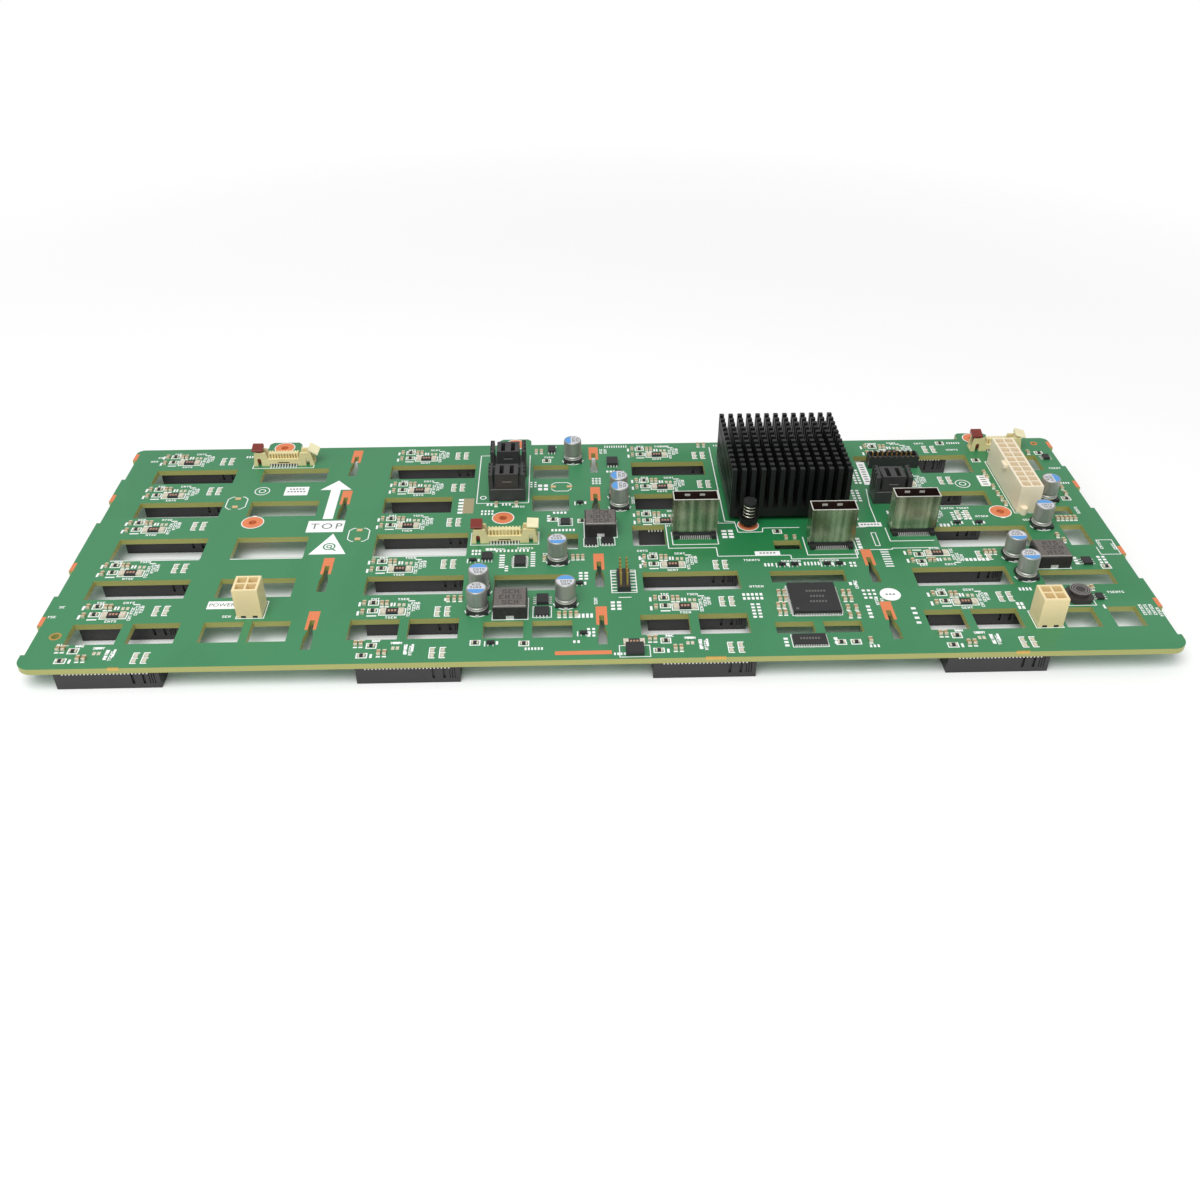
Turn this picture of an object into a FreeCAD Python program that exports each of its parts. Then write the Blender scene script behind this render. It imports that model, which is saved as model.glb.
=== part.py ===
import FreeCAD, Part
import math
import os

# Drive backplane board for a rack server, 24 drive bays, lying with its component side up.
# Millimetres. +X runs along the long edge to the right, +Y to the edge with the three tabs, +Z up.
# The board stands on the mating faces of the 24 drive sockets on its underside. The sizes below
# are measured from the middle of the board's rectangle. Each piece is saved moved by ORIGIN_SHIFT,
# which puts the origin under the middle of the whole outline, tabs included, on the resting plane.

Vector = FreeCAD.Vector

# Board
BOARD_W = 430.0
BOARD_D = 161.0
BOARD_T = 2.4
CORNER_R_BACK = 3.5
CORNER_R_FRONT = 6.0

# Drive sockets, one for each bay, under the board
BAY_COLUMNS = 4
BAY_ROWS = 6
BAY_PITCH_X = 109.0
BAY_PITCH_Y = 28.6
BAY_MIDDLE_GAP = 2.8
SOCKET_L = 38.0
SOCKET_W = 8.4
SOCKET_H = 7.6
SOCKET_OFFSET_X = -19.0
SOCKET_OFFSET_Y = -2.7
SOCKET_SLOT_L = 33.4
SOCKET_SLOT_W = 2.6
SOCKET_SLOT_DEPTH = 5.2
SOCKET_KEY_W = 1.1
SOCKET_KEY_OFFSET = 6.2

BOARD_BOTTOM = SOCKET_H
TOP = BOARD_BOTTOM + BOARD_T

# Air windows: the far and near edge of each row, then the left and right edge of each window
WINDOW_ROWS = (
    (61.1, 49.2, ((-200.8, -164.4), (-152.4, -122.8), (-29.6, -13.4))),
    (62.7, 50.6, ((-94.4, -56.0), (15.3, 48.7))),
    (33.0, 20.8, ((-200.8, -164.4), (-152.4, -122.8), (142.0, 171.4))),
    (34.5, 21.6, ((-94.4, -64.7), (-29.6, -13.4), (15.4, 33.5))),
    (4.2, -11.2, ((-201.2, -164.4), (-152.4, -122.7), (140.3, 180.0), (195.0, 204.6))),
    (5.2, -11.3, ((-94.4, -56.0),)),
    (-25.7, -38.3, ((-202.8, -164.4), (-152.4, -122.8), (-94.6, -55.9), (15.4, 53.8), (124.2, 162.4))),
    (-54.1, -66.5, ((-201.5, -182.8), (-179.0, -161.2), (-152.4, -137.4), (-134.3, -119.7),
                    (-97.3, -78.5), (-75.0, -56.0), (12.8, 31.5), (35.1, 54.0),
                    (122.0, 136.8), (140.0, 158.0), (174.0, 187.6), (193.2, 204.6))),
    (-56.8, -67.0, ((-46.7, -31.5), (-28.2, -13.0))),
    (-60.1, -67.1, ((63.7, 78.4), (82.0, 96.6))),
)
# Windows that stand alone: left, right, far, near
SINGLE_WINDOWS = (
    (-22.5, -10.0, 3.1, -7.5),
    (12.9, 26.6, 8.9, -6.6),
    (71.3, 82.5, -4.4, -11.0),
    (-43.8, -15.4, -26.2, -36.8),
    (66.6, 96.6, -26.4, -34.4),
    (174.8, 203.8, -29.1, -39.1),
    (193.8, 204.2, 63.8, 50.2),
    (191.5, 204.2, 18.9, 12.6),
)
# The window behind the right-hand sockets is narrow on its left and full size on its right
STEP_WINDOW_LEFT = 118.8
STEP_WINDOW_STEP = 147.4
STEP_WINDOW_RIGHT = 171.5
STEP_WINDOW_FAR = 65.2
STEP_WINDOW_MID = 59.9
STEP_WINDOW_NEAR = 49.2

# Hanging slots: three full columns, and half slots on both long ends
KEYHOLE_XS = (-111.6, -1.8, 108.4)
KEYHOLE_TOPS = (77.3, 41.0, -12.0, -48.3)
KEYHOLE_NECK_W = 1.8
KEYHOLE_NECK_CHAMFER = 0.5
KEYHOLE_NECK_START = 5.6
KEYHOLE_NECK_END = 11.6
KEYHOLE_MOUTH_START = 16.0
KEYHOLE_MOUTH_W = 3.6
KEYHOLE_END = 23.4
EDGE_NOTCH_DEPTH = 1.5
EDGE_NOTCH_START = 6.6
EDGE_NOTCH_END = 23.6

# Screw tabs on the back edge, and the screw holes
TAB_W = 15.0
TAB_REACH = 5.6
TAB_CORNER = 1.6
TAB_XS = (-146.8, -38.4, 179.6)
TAB_HOLE_REACH = 0.5
FIELD_HOLES = ((-148.6, 16.0), (-41.9, 16.6), (173.2, 15.6))
SCREW_HOLE_R = 1.7
TOOLING_HOLES = ((-205.9, -61.2, 1.5), (207.3, 75.1, 1.0))
ORIGIN_SHIFT = Vector(0, -TAB_REACH / 2, 0)

# Heat sink over the main chip
SINK_W = 50.5
SINK_X = 80.0
SINK_Y = 36.4
SINK_H = 22.8
SINK_BASE_T = 4.1
SINK_PINS = 13
SINK_PIN_W = 1.95
SINK_LUG_R = 3.9
SINK_LUG_T = 2.4
SINK_HOLE_FROM_SIDE = 7.75
SINK_HOLE_BEYOND_EDGE = 3.25
PUSH_PIN_R = 1.45
PUSH_PIN_HEAD_R = 2.8
PUSH_PIN_HEAD_T = 1.2
PUSH_PIN_BELOW = 1.0
PUSH_PIN_BARB = 0.3
PUSH_PIN_CLEARANCE = 0.15
SPRING_R = 2.45
SPRING_WIRE = 0.5
SPRING_TURNS = 4
SPRING_STEPS = 8
SPRING_H = 6.6
MAIN_CHIP_W = 35.0
MAIN_CHIP_T = 2.2

# Chips: centre x, centre y, size x, size y, height
CONTROLLER_CHIP = (80.9, -46.6, 18.4, 18.8, 1.9)
LOGIC_CHIPS = (
    (75.1, -71.8, 12.5, 6.1, 1.1),
    (6.7, 62.4, 5.0, 6.2, 1.7),
    (-21.2, 74.8, 3.4, 5.0, 1.4),
    (-15.2, 12.4, 4.0, 4.4, 0.9),
    (-47.3, -13.6, 4.4, 4.6, 1.5),
    (-33.8, -17.1, 4.5, 6.4, 1.5),
    (-4.7, -3.5, 5.0, 5.2, 1.1),
    (2.2, -3.1, 5.0, 4.4, 1.1),
    (-24.4, -43.8, 4.6, 5.6, 1.5),
    (-24.6, -51.4, 5.6, 5.2, 1.1),
    (BOARD_W / 2 - 18.4, -23.6, 3.6, 4.4, 1.2),
    (BOARD_W / 2 - 22.2, -47.8, 2.8, 3.6, 1.0),
    (BOARD_W / 2 - 6.7, 61.4, 2.8, 3.6, 1.2),
    (9.8, -76.0, 6.6, 5.4, 2.3),
)

# Metal port cages with a black insert: centre x, front y
PORTS = ((38.9, -0.5), (94.6, -9.9), (130.9, -0.7))
PORT_W = 18.7
PORT_D = 7.2
PORT_H = 18.1
PORT_WALL = 0.4
PORT_FOOT_H = 2.6
PORT_TONGUE_L = 14.6
PORT_TONGUE_T = 1.2
PORT_TONGUE_TOP = 15.6
PORT_TONGUE_FROM_FRONT = 2.3
PORT_LATCH_W = 2.2
PORT_LATCH_H = 0.9
PORT_LATCH_FROM_TOP = 2.1
PORT_LATCH_SPACING = 6.2
PORT_TOE_W = 2.2
PORT_TOE_REACH = 2.0
PORT_TOE_H = 1.8

# Black upright sockets: centre x, front y
UPRIGHT_SOCKETS = ((-40.4, 30.3), (-40.4, 50.4), (127.3, 23.3))
UPRIGHT_W = 15.8
UPRIGHT_D = 9.8
UPRIGHT_H = 13.1
UPRIGHT_SKIRT_H = 6.1
UPRIGHT_CORE_W = 10.0
UPRIGHT_CORE_SETBACK = 0.6
UPRIGHT_ARM_W = 1.8
UPRIGHT_ARM_RISE = 1.4
UPRIGHT_ARM_NOTCH = 0.7
UPRIGHT_SLOT_W = 1.8
UPRIGHT_SLOT_L = 7.0
UPRIGHT_SLOT_DEPTH = 9.0
UPRIGHT_SLOT_SPACING = 4.4
UPRIGHT_NUB = 1.4

# Low black box socket
BOX_SOCKET_X = 135.1
BOX_SOCKET_FRONT = 53.8
BOX_SOCKET_W = 22.8
BOX_SOCKET_D = 5.6
BOX_SOCKET_H = 5.6
BOX_SOCKET_WALL = 0.8
BOX_SOCKET_FLOOR = 1.2
BOX_SOCKET_CONTACTS = 9
BOX_SOCKET_PITCH = 2.2
BOX_SOCKET_RIB_T = 1.0
BOX_SOCKET_RIB_DROP = 0.9

# Fine-pitch cable headers with a swinging lever at each end: centre x, centre y,
# contacts in a row, and how far each lever leans outwards
LONG_HEADER_CONTACTS = 10
SHORT_HEADER_CONTACTS = 7
CABLE_HEADERS = (
    (-144.0, 66.8, LONG_HEADER_CONTACTS, 0.0, 32.0),
    (-40.5, -0.3, LONG_HEADER_CONTACTS, 0.0, 4.0),
    (187.0, 71.2, SHORT_HEADER_CONTACTS, 0.0, 15.0),
)
HEADER_PITCH = 1.27
HEADER_END_L = 8.1
HEADER_D = 5.4
HEADER_EAR_H = 6.5
HEADER_EAR_T = 1.1
HEADER_EAR_SLOPE = 1.0
HEADER_EAR_L = 6.9
HEADER_WALL_H = 3.4
HEADER_TONGUE_H = 5.6
HEADER_TONGUE_T = 1.8
HEADER_TONGUE_MARGIN = 0.25
HEADER_FLOOR = 0.6
LEVER_PIVOT_FROM_END = 2.85
LEVER_PIVOT_H = 3.05
LEVER_TRUNNION_R = 0.8
LEVER_TRUNNION_SIDES = 8
LEVER_CLEARANCE = 0.05
LEVER_SIDE_GAP = 0.2
LEVER_TRUNNION_RECESS = 0.2
LEVER_STEM_L = 2.6
LEVER_FOOT_H = 0.8
LEVER_FOOT_CHAMFER = 0.7
LEVER_HEAD_FROM = 7.1
LEVER_HEAD_FRONT_T = 0.8
LEVER_HEAD_BACK_T = 2.0
LEVER_HEAD_L = 4.9
LEVER_HEAD_D = 5.2
LEVER_HEAD_OUT = 0.5
LEVER_TOE_L = 1.4
LEVER_TOE_H = 1.0

# Cream power headers on the 4.2 mm grid: node, front left corner, rows of cells
POWER_PITCH = 4.2
POWER_MARGIN = 2.7
POWER_H = 12.8
POWER_CELL_W = 3.5
POWER_CELL_DEPTH = 10.2
POWER_PIN_W = 1.1
POWER_PIN_TOP = 9.6
POWER_COLUMNS = 2
POWER_LONG_ROWS = 10
POWER_SHORT_ROWS = 2
POWER_HEADERS = (
    ("power_header_20_way", 179.7, 14.7, POWER_LONG_ROWS),
    ("power_header_4_way_left", -140.7, -51.6, POWER_SHORT_ROWS),
    ("power_header_4_way_right", 162.4, -66.2, POWER_SHORT_ROWS),
)
LATCH_L = 4.4
LATCH_REACH = 1.7
LATCH_T = 1.6
LATCH_FROM_TOP = 0.6
PEG_R = 1.4
PEG_H = 3.2

# Can capacitors: centre x, centre y
CAPACITORS = (
    (-11.4, 66.2), (8.4, 34.0), (8.5, 25.3), (-18.5, -15.7), (-49.2, -36.0), (-49.3, -48.6),
    (-15.4, -44.9), (BOARD_W / 2 - 18.0, 26.2), (187.2, 4.8), (168.0, -18.1), (168.9, -32.1),
)
CAN_R = 4.0
CAN_H = 10.3
CAN_BASE_W = 8.3
CAN_BASE_T = 1.5
CAN_BASE_CHAMFER = 1.5

# Moulded power inductors: centre x, centre y, size x, size y, height; and one round one
INDUCTORS = (
    (-36.7, -48.9, 13.0, 12.8, 5.9),
    (-0.4, 6.6, 13.2, 11.8, 6.4),
    (181.9, -21.4, 13.0, 12.6, 5.8),
)
INDUCTOR_EDGE = 0.5
ROUND_INDUCTOR = (184.6, -47.6)
ROUND_INDUCTOR_W = 9.6
ROUND_INDUCTOR_R = 3.6
ROUND_INDUCTOR_H = 3.9
ROUND_INDUCTOR_BASE = 1.9
ROUND_INDUCTOR_CHAMFER = 1.8

# Square-pin header, 2 x 5 on the 2.54 mm grid
PIN_GRID = 2.54
PIN_HEADER_X = 7.6
PIN_HEADER_FRONT = -39.0
PIN_HEADER_ROWS = 5
PIN_HEADER_BODY_H = 2.5
PIN_HEADER_PIN_W = 0.64
PIN_HEADER_PIN_TOP = 8.6


def box(x0, x1, y0, y1, z0, z1):
    return Part.makeBox(x1 - x0, y1 - y0, z1 - z0, Vector(x0, y0, z0))


def centred_box(x, y, w, d, z0, z1):
    return box(x - w / 2, x + w / 2, y - d / 2, y + d / 2, z0, z1)


def polygon_face(points):
    return Part.Face(Part.makePolygon(points + [points[0]]))


def prism(points, direction):
    return polygon_face(points).extrude(direction)


def fused(solids):
    return solids[0].fuse(solids[1:]).removeSplitter()


def save(node, shape):
    moved = shape.copy()
    moved.translate(ORIGIN_SHIFT)
    moved.exportStep("parts/" + node + ".step")


def loop_wire(points):
    corners = [Vector(x, y, 0) for x, y in points]
    return Part.makePolygon(corners + corners[:1])


def rectangle_wire(x0, x1, far, near):
    return loop_wire([(x0, near), (x1, near), (x1, far), (x0, far)])


def circle_wire(x, y, r):
    return Part.Wire([Part.makeCircle(r, Vector(x, y, 0))])


def keyhole_wire(x, top):
    # A narrow neck with cut corners that opens into a wider mouth towards the front
    neck = KEYHOLE_NECK_W / 2
    mouth = KEYHOLE_MOUTH_W / 2
    crown = top - KEYHOLE_NECK_START
    cut = KEYHOLE_NECK_CHAMFER
    right_side = [
        (x + neck - cut, crown), (x + neck, crown - cut), (x + neck, top - KEYHOLE_NECK_END),
        (x + mouth, top - KEYHOLE_MOUTH_START), (x + mouth, top - KEYHOLE_END),
    ]
    left_side = [(2 * x - px, py) for px, py in reversed(right_side)]
    return loop_wire(right_side + left_side)


def board_outline():
    # Anticlockwise from the front left corner, with a notch below each edge pad and the back tabs
    right = BOARD_W / 2
    back = BOARD_D / 2
    edges = []

    def line(a, b):
        edges.append(Part.makeLine(Vector(a[0], a[1], 0), Vector(b[0], b[1], 0)))

    def corner(a, b, centre, r):
        dx = (a[0] + b[0]) / 2 - centre[0]
        dy = (a[1] + b[1]) / 2 - centre[1]
        k = r / math.hypot(dx, dy)
        mid = Vector(centre[0] + dx * k, centre[1] + dy * k, 0)
        edges.append(Part.Arc(Vector(a[0], a[1], 0), mid, Vector(b[0], b[1], 0)).toShape())

    front_r = CORNER_R_FRONT
    back_r = CORNER_R_BACK
    at = (-right + front_r, -back)
    line(at, (right - front_r, -back))
    corner((right - front_r, -back), (right, -back + front_r), (right - front_r, -back + front_r), front_r)
    at = (right, -back + front_r)
    for top in reversed(KEYHOLE_TOPS):
        low = top - EDGE_NOTCH_END
        high = top - EDGE_NOTCH_START
        deep = right - EDGE_NOTCH_DEPTH
        path = [at, (right, low), (deep, low), (deep, high), (right, high)]
        for a, b in zip(path, path[1:]):
            line(a, b)
        at = (right, high)
    line(at, (right, back - back_r))
    corner((right, back - back_r), (right - back_r, back), (right - back_r, back - back_r), back_r)
    at = (right - back_r, back)
    tab_top = back + TAB_REACH
    shoulder = tab_top - TAB_CORNER
    for x in reversed(TAB_XS):
        tab_right = x + TAB_W / 2
        tab_left = x - TAB_W / 2
        path = [at, (tab_right, back), (tab_right, shoulder), (tab_right - TAB_CORNER, tab_top),
                (tab_left + TAB_CORNER, tab_top), (tab_left, shoulder), (tab_left, back)]
        for a, b in zip(path, path[1:]):
            line(a, b)
        at = (tab_left, back)
    line(at, (-right + back_r, back))
    corner((-right + back_r, back), (-right, back - back_r), (-right + back_r, back - back_r), back_r)
    at = (-right, back - back_r)
    for top in KEYHOLE_TOPS:
        low = top - EDGE_NOTCH_END
        high = top - EDGE_NOTCH_START
        deep = EDGE_NOTCH_DEPTH - right
        path = [at, (-right, high), (deep, high), (deep, low), (-right, low)]
        for a, b in zip(path, path[1:]):
            line(a, b)
        at = (-right, low)
    line(at, (-right, -back + front_r))
    corner((-right, -back + front_r), (-right + front_r, -back), (-right + front_r, -back + front_r), front_r)
    return Part.Wire(edges)


def screw_holes():
    tabs = [(x, BOARD_D / 2 + TAB_HOLE_REACH) for x in TAB_XS]
    return tabs + list(FIELD_HOLES)


def push_pin_places():
    dx = SINK_W / 2 - SINK_HOLE_FROM_SIDE
    dy = SINK_W / 2 + SINK_HOLE_BEYOND_EDGE
    return ((SINK_X - dx, SINK_Y - dy), (SINK_X + dx, SINK_Y + dy))


def circuit_board():
    holes = []
    for far, near, spans in WINDOW_ROWS:
        for x0, x1 in spans:
            holes.append(rectangle_wire(x0, x1, far, near))
    for x0, x1, far, near in SINGLE_WINDOWS:
        holes.append(rectangle_wire(x0, x1, far, near))
    holes.append(loop_wire([
        (STEP_WINDOW_LEFT, STEP_WINDOW_FAR), (STEP_WINDOW_LEFT, STEP_WINDOW_MID),
        (STEP_WINDOW_STEP, STEP_WINDOW_MID), (STEP_WINDOW_STEP, STEP_WINDOW_NEAR),
        (STEP_WINDOW_RIGHT, STEP_WINDOW_NEAR), (STEP_WINDOW_RIGHT, STEP_WINDOW_FAR)]))
    for x in KEYHOLE_XS:
        for top in KEYHOLE_TOPS:
            holes.append(keyhole_wire(x, top))
    for x, y in screw_holes():
        holes.append(circle_wire(x, y, SCREW_HOLE_R))
    for x, y, r in TOOLING_HOLES:
        holes.append(circle_wire(x, y, r))
    for x, y in push_pin_places():
        holes.append(circle_wire(x, y, PUSH_PIN_R + PUSH_PIN_CLEARANCE))
    face = Part.Face(board_outline())
    for wire in holes:
        face = face.cut(Part.Face(wire))
    sheet = face.Faces[0]
    sheet.translate(Vector(0, 0, BOARD_BOTTOM))
    return sheet.extrude(Vector(0, 0, BOARD_T))


def drive_socket(x, y):
    # The mating slot opens downwards, and its key splits the short row of contacts from the long one
    body = centred_box(x, y, SOCKET_L, SOCKET_W, 0, SOCKET_H)
    slot = centred_box(x, y, SOCKET_SLOT_L, SOCKET_SLOT_W, 0, SOCKET_SLOT_DEPTH)
    key = centred_box(x + SOCKET_KEY_OFFSET, y, SOCKET_KEY_W, SOCKET_SLOT_W, 0, SOCKET_SLOT_DEPTH)
    return body.cut(slot.cut(key))


def socket_places():
    places = []
    for row in range(BAY_ROWS):
        for column in range(BAY_COLUMNS):
            x = (column - (BAY_COLUMNS - 1) / 2) * BAY_PITCH_X + SOCKET_OFFSET_X
            y = ((BAY_ROWS - 1) / 2 - row) * BAY_PITCH_Y + SOCKET_OFFSET_Y
            side = 1 if row < BAY_ROWS / 2 else -1
            places.append((row + 1, column + 1, x, y + side * BAY_MIDDLE_GAP / 2))
    return places


def heat_sink():
    # A block cut both ways into square pins, on a base with two lugs for the push pins
    z0 = TOP + MAIN_CHIP_T
    base = centred_box(SINK_X, SINK_Y, SINK_W, SINK_W, z0, z0 + SINK_BASE_T)
    fins = centred_box(SINK_X, SINK_Y, SINK_W, SINK_W, z0 + SINK_BASE_T, z0 + SINK_H)
    pitch = (SINK_W - SINK_PIN_W) / (SINK_PINS - 1)
    gap = pitch - SINK_PIN_W
    cuts = []
    for i in range(SINK_PINS - 1):
        at = -SINK_W / 2 + SINK_PIN_W + gap / 2 + i * pitch
        cuts.append(centred_box(SINK_X + at, SINK_Y, gap, SINK_W + 2, z0 + SINK_BASE_T, z0 + SINK_H + 1))
        cuts.append(centred_box(SINK_X, SINK_Y + at, SINK_W + 2, gap, z0 + SINK_BASE_T, z0 + SINK_H + 1))
    fins = fins.cut(cuts)
    lugs = []
    for x, y in push_pin_places():
        side = 1 if y > SINK_Y else -1
        edge = SINK_Y + side * SINK_W / 2
        lugs.append(Part.makeCylinder(SINK_LUG_R, SINK_LUG_T, Vector(x, y, z0)))
        lugs.append(box(x - SINK_LUG_R, x + SINK_LUG_R, min(y, edge), max(y, edge), z0, z0 + SINK_LUG_T))
    plate = fused([base] + lugs)
    for x, y in push_pin_places():
        plate = plate.cut(Part.makeCylinder(PUSH_PIN_R + PUSH_PIN_CLEARANCE, SINK_LUG_T, Vector(x, y, z0)))
    return fused([plate] + fins.Solids)


def push_pin(x, y):
    # The flat barbed foot grips the underside of the board, and the head holds the spring down
    head_bottom = TOP + MAIN_CHIP_T + SINK_LUG_T + SPRING_H
    foot = BOARD_BOTTOM - PUSH_PIN_BELOW
    shaft = Part.makeCylinder(PUSH_PIN_R, head_bottom - BOARD_BOTTOM, Vector(x, y, BOARD_BOTTOM))
    head = Part.makeCylinder(PUSH_PIN_HEAD_R, PUSH_PIN_HEAD_T, Vector(x, y, head_bottom))
    barb = centred_box(x, y, 2 * (PUSH_PIN_R + PUSH_PIN_BARB), PUSH_PIN_R, foot, BOARD_BOTTOM)
    return fused([shaft, head, barb])


def push_pin_spring(x, y):
    # Square wire wound on a helix from the lug up to the pin's head, in straight steps
    z0 = TOP + MAIN_CHIP_T + SINK_LUG_T
    steps = round(SPRING_TURNS * SPRING_STEPS)
    inner = SPRING_R - SPRING_WIRE / 2
    outer = SPRING_R + SPRING_WIRE / 2
    sections = []
    for k in range(steps + 1):
        angle = 2 * math.pi * k / SPRING_STEPS
        z = z0 + (SPRING_H - SPRING_WIRE) * k / steps
        corners = ((inner, z), (outer, z), (outer, z + SPRING_WIRE), (inner, z + SPRING_WIRE))
        sections.append([Vector(x + r * math.cos(angle), y + r * math.sin(angle), h) for r, h in corners])
    faces = [polygon_face(sections[0]), polygon_face(sections[-1])]
    for low, high in zip(sections, sections[1:]):
        for i in range(4):
            j = (i + 1) % 4
            faces.append(polygon_face([low[i], low[j], high[j]]))
            faces.append(polygon_face([low[i], high[j], high[i]]))
    shell = Part.Shell(faces)
    shell.sewShape()
    spring = Part.Solid(shell)
    if spring.Volume < 0:
        spring.reverse()
    return spring


def chip(x, y, w, d, h):
    return centred_box(x, y, w, d, TOP, TOP + h)


def port_cage(x, front):
    y = front + PORT_D / 2
    outer = centred_box(x, y, PORT_W, PORT_D, TOP + PORT_FOOT_H, TOP + PORT_H)
    inner = centred_box(x, y, PORT_W - 2 * PORT_WALL, PORT_D - 2 * PORT_WALL, TOP, TOP + PORT_H + 1)
    cuts = [inner]
    latch_z = TOP + PORT_H - PORT_LATCH_FROM_TOP
    legs = []
    for side in (-1, 1):
        latch_x = x + side * PORT_LATCH_SPACING / 2
        latch_top = latch_z + PORT_LATCH_H
        cuts.append(centred_box(latch_x, front + PORT_D, PORT_LATCH_W, 4 * PORT_WALL, latch_z, latch_top))
        leg_x = x + side * (PORT_W - PORT_WALL) / 2
        legs.append(centred_box(leg_x, y, PORT_WALL, PORT_D / 2, TOP, TOP + PORT_FOOT_H))
    return fused([outer.cut(cuts)] + legs)


def port_insert(x, front):
    # The insulator fills the foot of the cage, with a tongue for the plug and a toe at each front corner
    y = front + PORT_D / 2
    inside = PORT_W - 2 * PORT_WALL
    foot = centred_box(x, y, inside, PORT_D, TOP, TOP + PORT_FOOT_H)
    tongue_y = front + PORT_TONGUE_FROM_FRONT + PORT_TONGUE_T / 2
    tongue = centred_box(x, tongue_y, PORT_TONGUE_L, PORT_TONGUE_T, TOP + PORT_FOOT_H, TOP + PORT_TONGUE_TOP)
    toes = []
    for side in (-1, 1):
        toe_x = x + side * (inside - PORT_TOE_W) / 2
        toe_y = front - PORT_TOE_REACH / 2
        toes.append(centred_box(toe_x, toe_y, PORT_TOE_W, PORT_TOE_REACH, TOP, TOP + PORT_TOE_H))
    return fused([foot, tongue] + toes)


def upright_socket(x, front):
    y = front + UPRIGHT_D / 2
    back = front + UPRIGHT_D
    skirt = centred_box(x, y, UPRIGHT_W, UPRIGHT_D, TOP, TOP + UPRIGHT_SKIRT_H)
    core = box(x - UPRIGHT_CORE_W / 2, x + UPRIGHT_CORE_W / 2, front + UPRIGHT_CORE_SETBACK, back,
               TOP + UPRIGHT_SKIRT_H, TOP + UPRIGHT_H)
    nub = centred_box(x, front + UPRIGHT_CORE_SETBACK, UPRIGHT_NUB, UPRIGHT_CORE_SETBACK,
                      TOP + UPRIGHT_H - 2 * UPRIGHT_NUB, TOP + UPRIGHT_H - UPRIGHT_NUB)
    slots = []
    for side in (-1, 1):
        slots.append(centred_box(x + side * UPRIGHT_SLOT_SPACING / 2, y, UPRIGHT_SLOT_W, UPRIGHT_SLOT_L,
                                 TOP + UPRIGHT_H - UPRIGHT_SLOT_DEPTH, TOP + UPRIGHT_H + 1))
    arms = []
    for side in (-1, 1):
        outer = x + side * UPRIGHT_W / 2
        inner = outer - side * UPRIGHT_ARM_W
        low, high = min(outer, inner), max(outer, inner)
        arm_z = TOP + UPRIGHT_SKIRT_H
        top_z = TOP + UPRIGHT_H
        profile = [Vector(low, front, arm_z), Vector(low, back, arm_z), Vector(low, back, top_z),
                   Vector(low, back - UPRIGHT_ARM_RISE, top_z + UPRIGHT_ARM_RISE), Vector(low, front, top_z)]
        arm = prism(profile, Vector(high - low, 0, 0))
        notch_w = 2 * UPRIGHT_ARM_NOTCH
        notches = [centred_box(outer, front + (i + 1) * UPRIGHT_D / 4, notch_w, notch_w,
                               arm_z, top_z + 2 * UPRIGHT_ARM_RISE) for i in range(3)]
        arms.append(arm.cut(notches))
    return fused([skirt, core, nub] + arms).cut(slots)


def box_socket():
    y = BOX_SOCKET_FRONT + BOX_SOCKET_D / 2
    outer = centred_box(BOX_SOCKET_X, y, BOX_SOCKET_W, BOX_SOCKET_D, TOP, TOP + BOX_SOCKET_H)
    inside_w = BOX_SOCKET_W - 2 * BOX_SOCKET_WALL
    inside_d = BOX_SOCKET_D - 2 * BOX_SOCKET_WALL
    floor = TOP + BOX_SOCKET_FLOOR
    hollow = centred_box(BOX_SOCKET_X, y, inside_w, inside_d, floor, TOP + BOX_SOCKET_H + 1)
    rib_l = BOX_SOCKET_CONTACTS * BOX_SOCKET_PITCH
    rib_top = TOP + BOX_SOCKET_H - BOX_SOCKET_RIB_DROP
    rib = centred_box(BOX_SOCKET_X, y, rib_l, BOX_SOCKET_RIB_T, floor, rib_top)
    return fused([outer.cut(hollow), rib])


def header_length(contacts):
    return (contacts - 1) * HEADER_PITCH + 2 * HEADER_END_L


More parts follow.
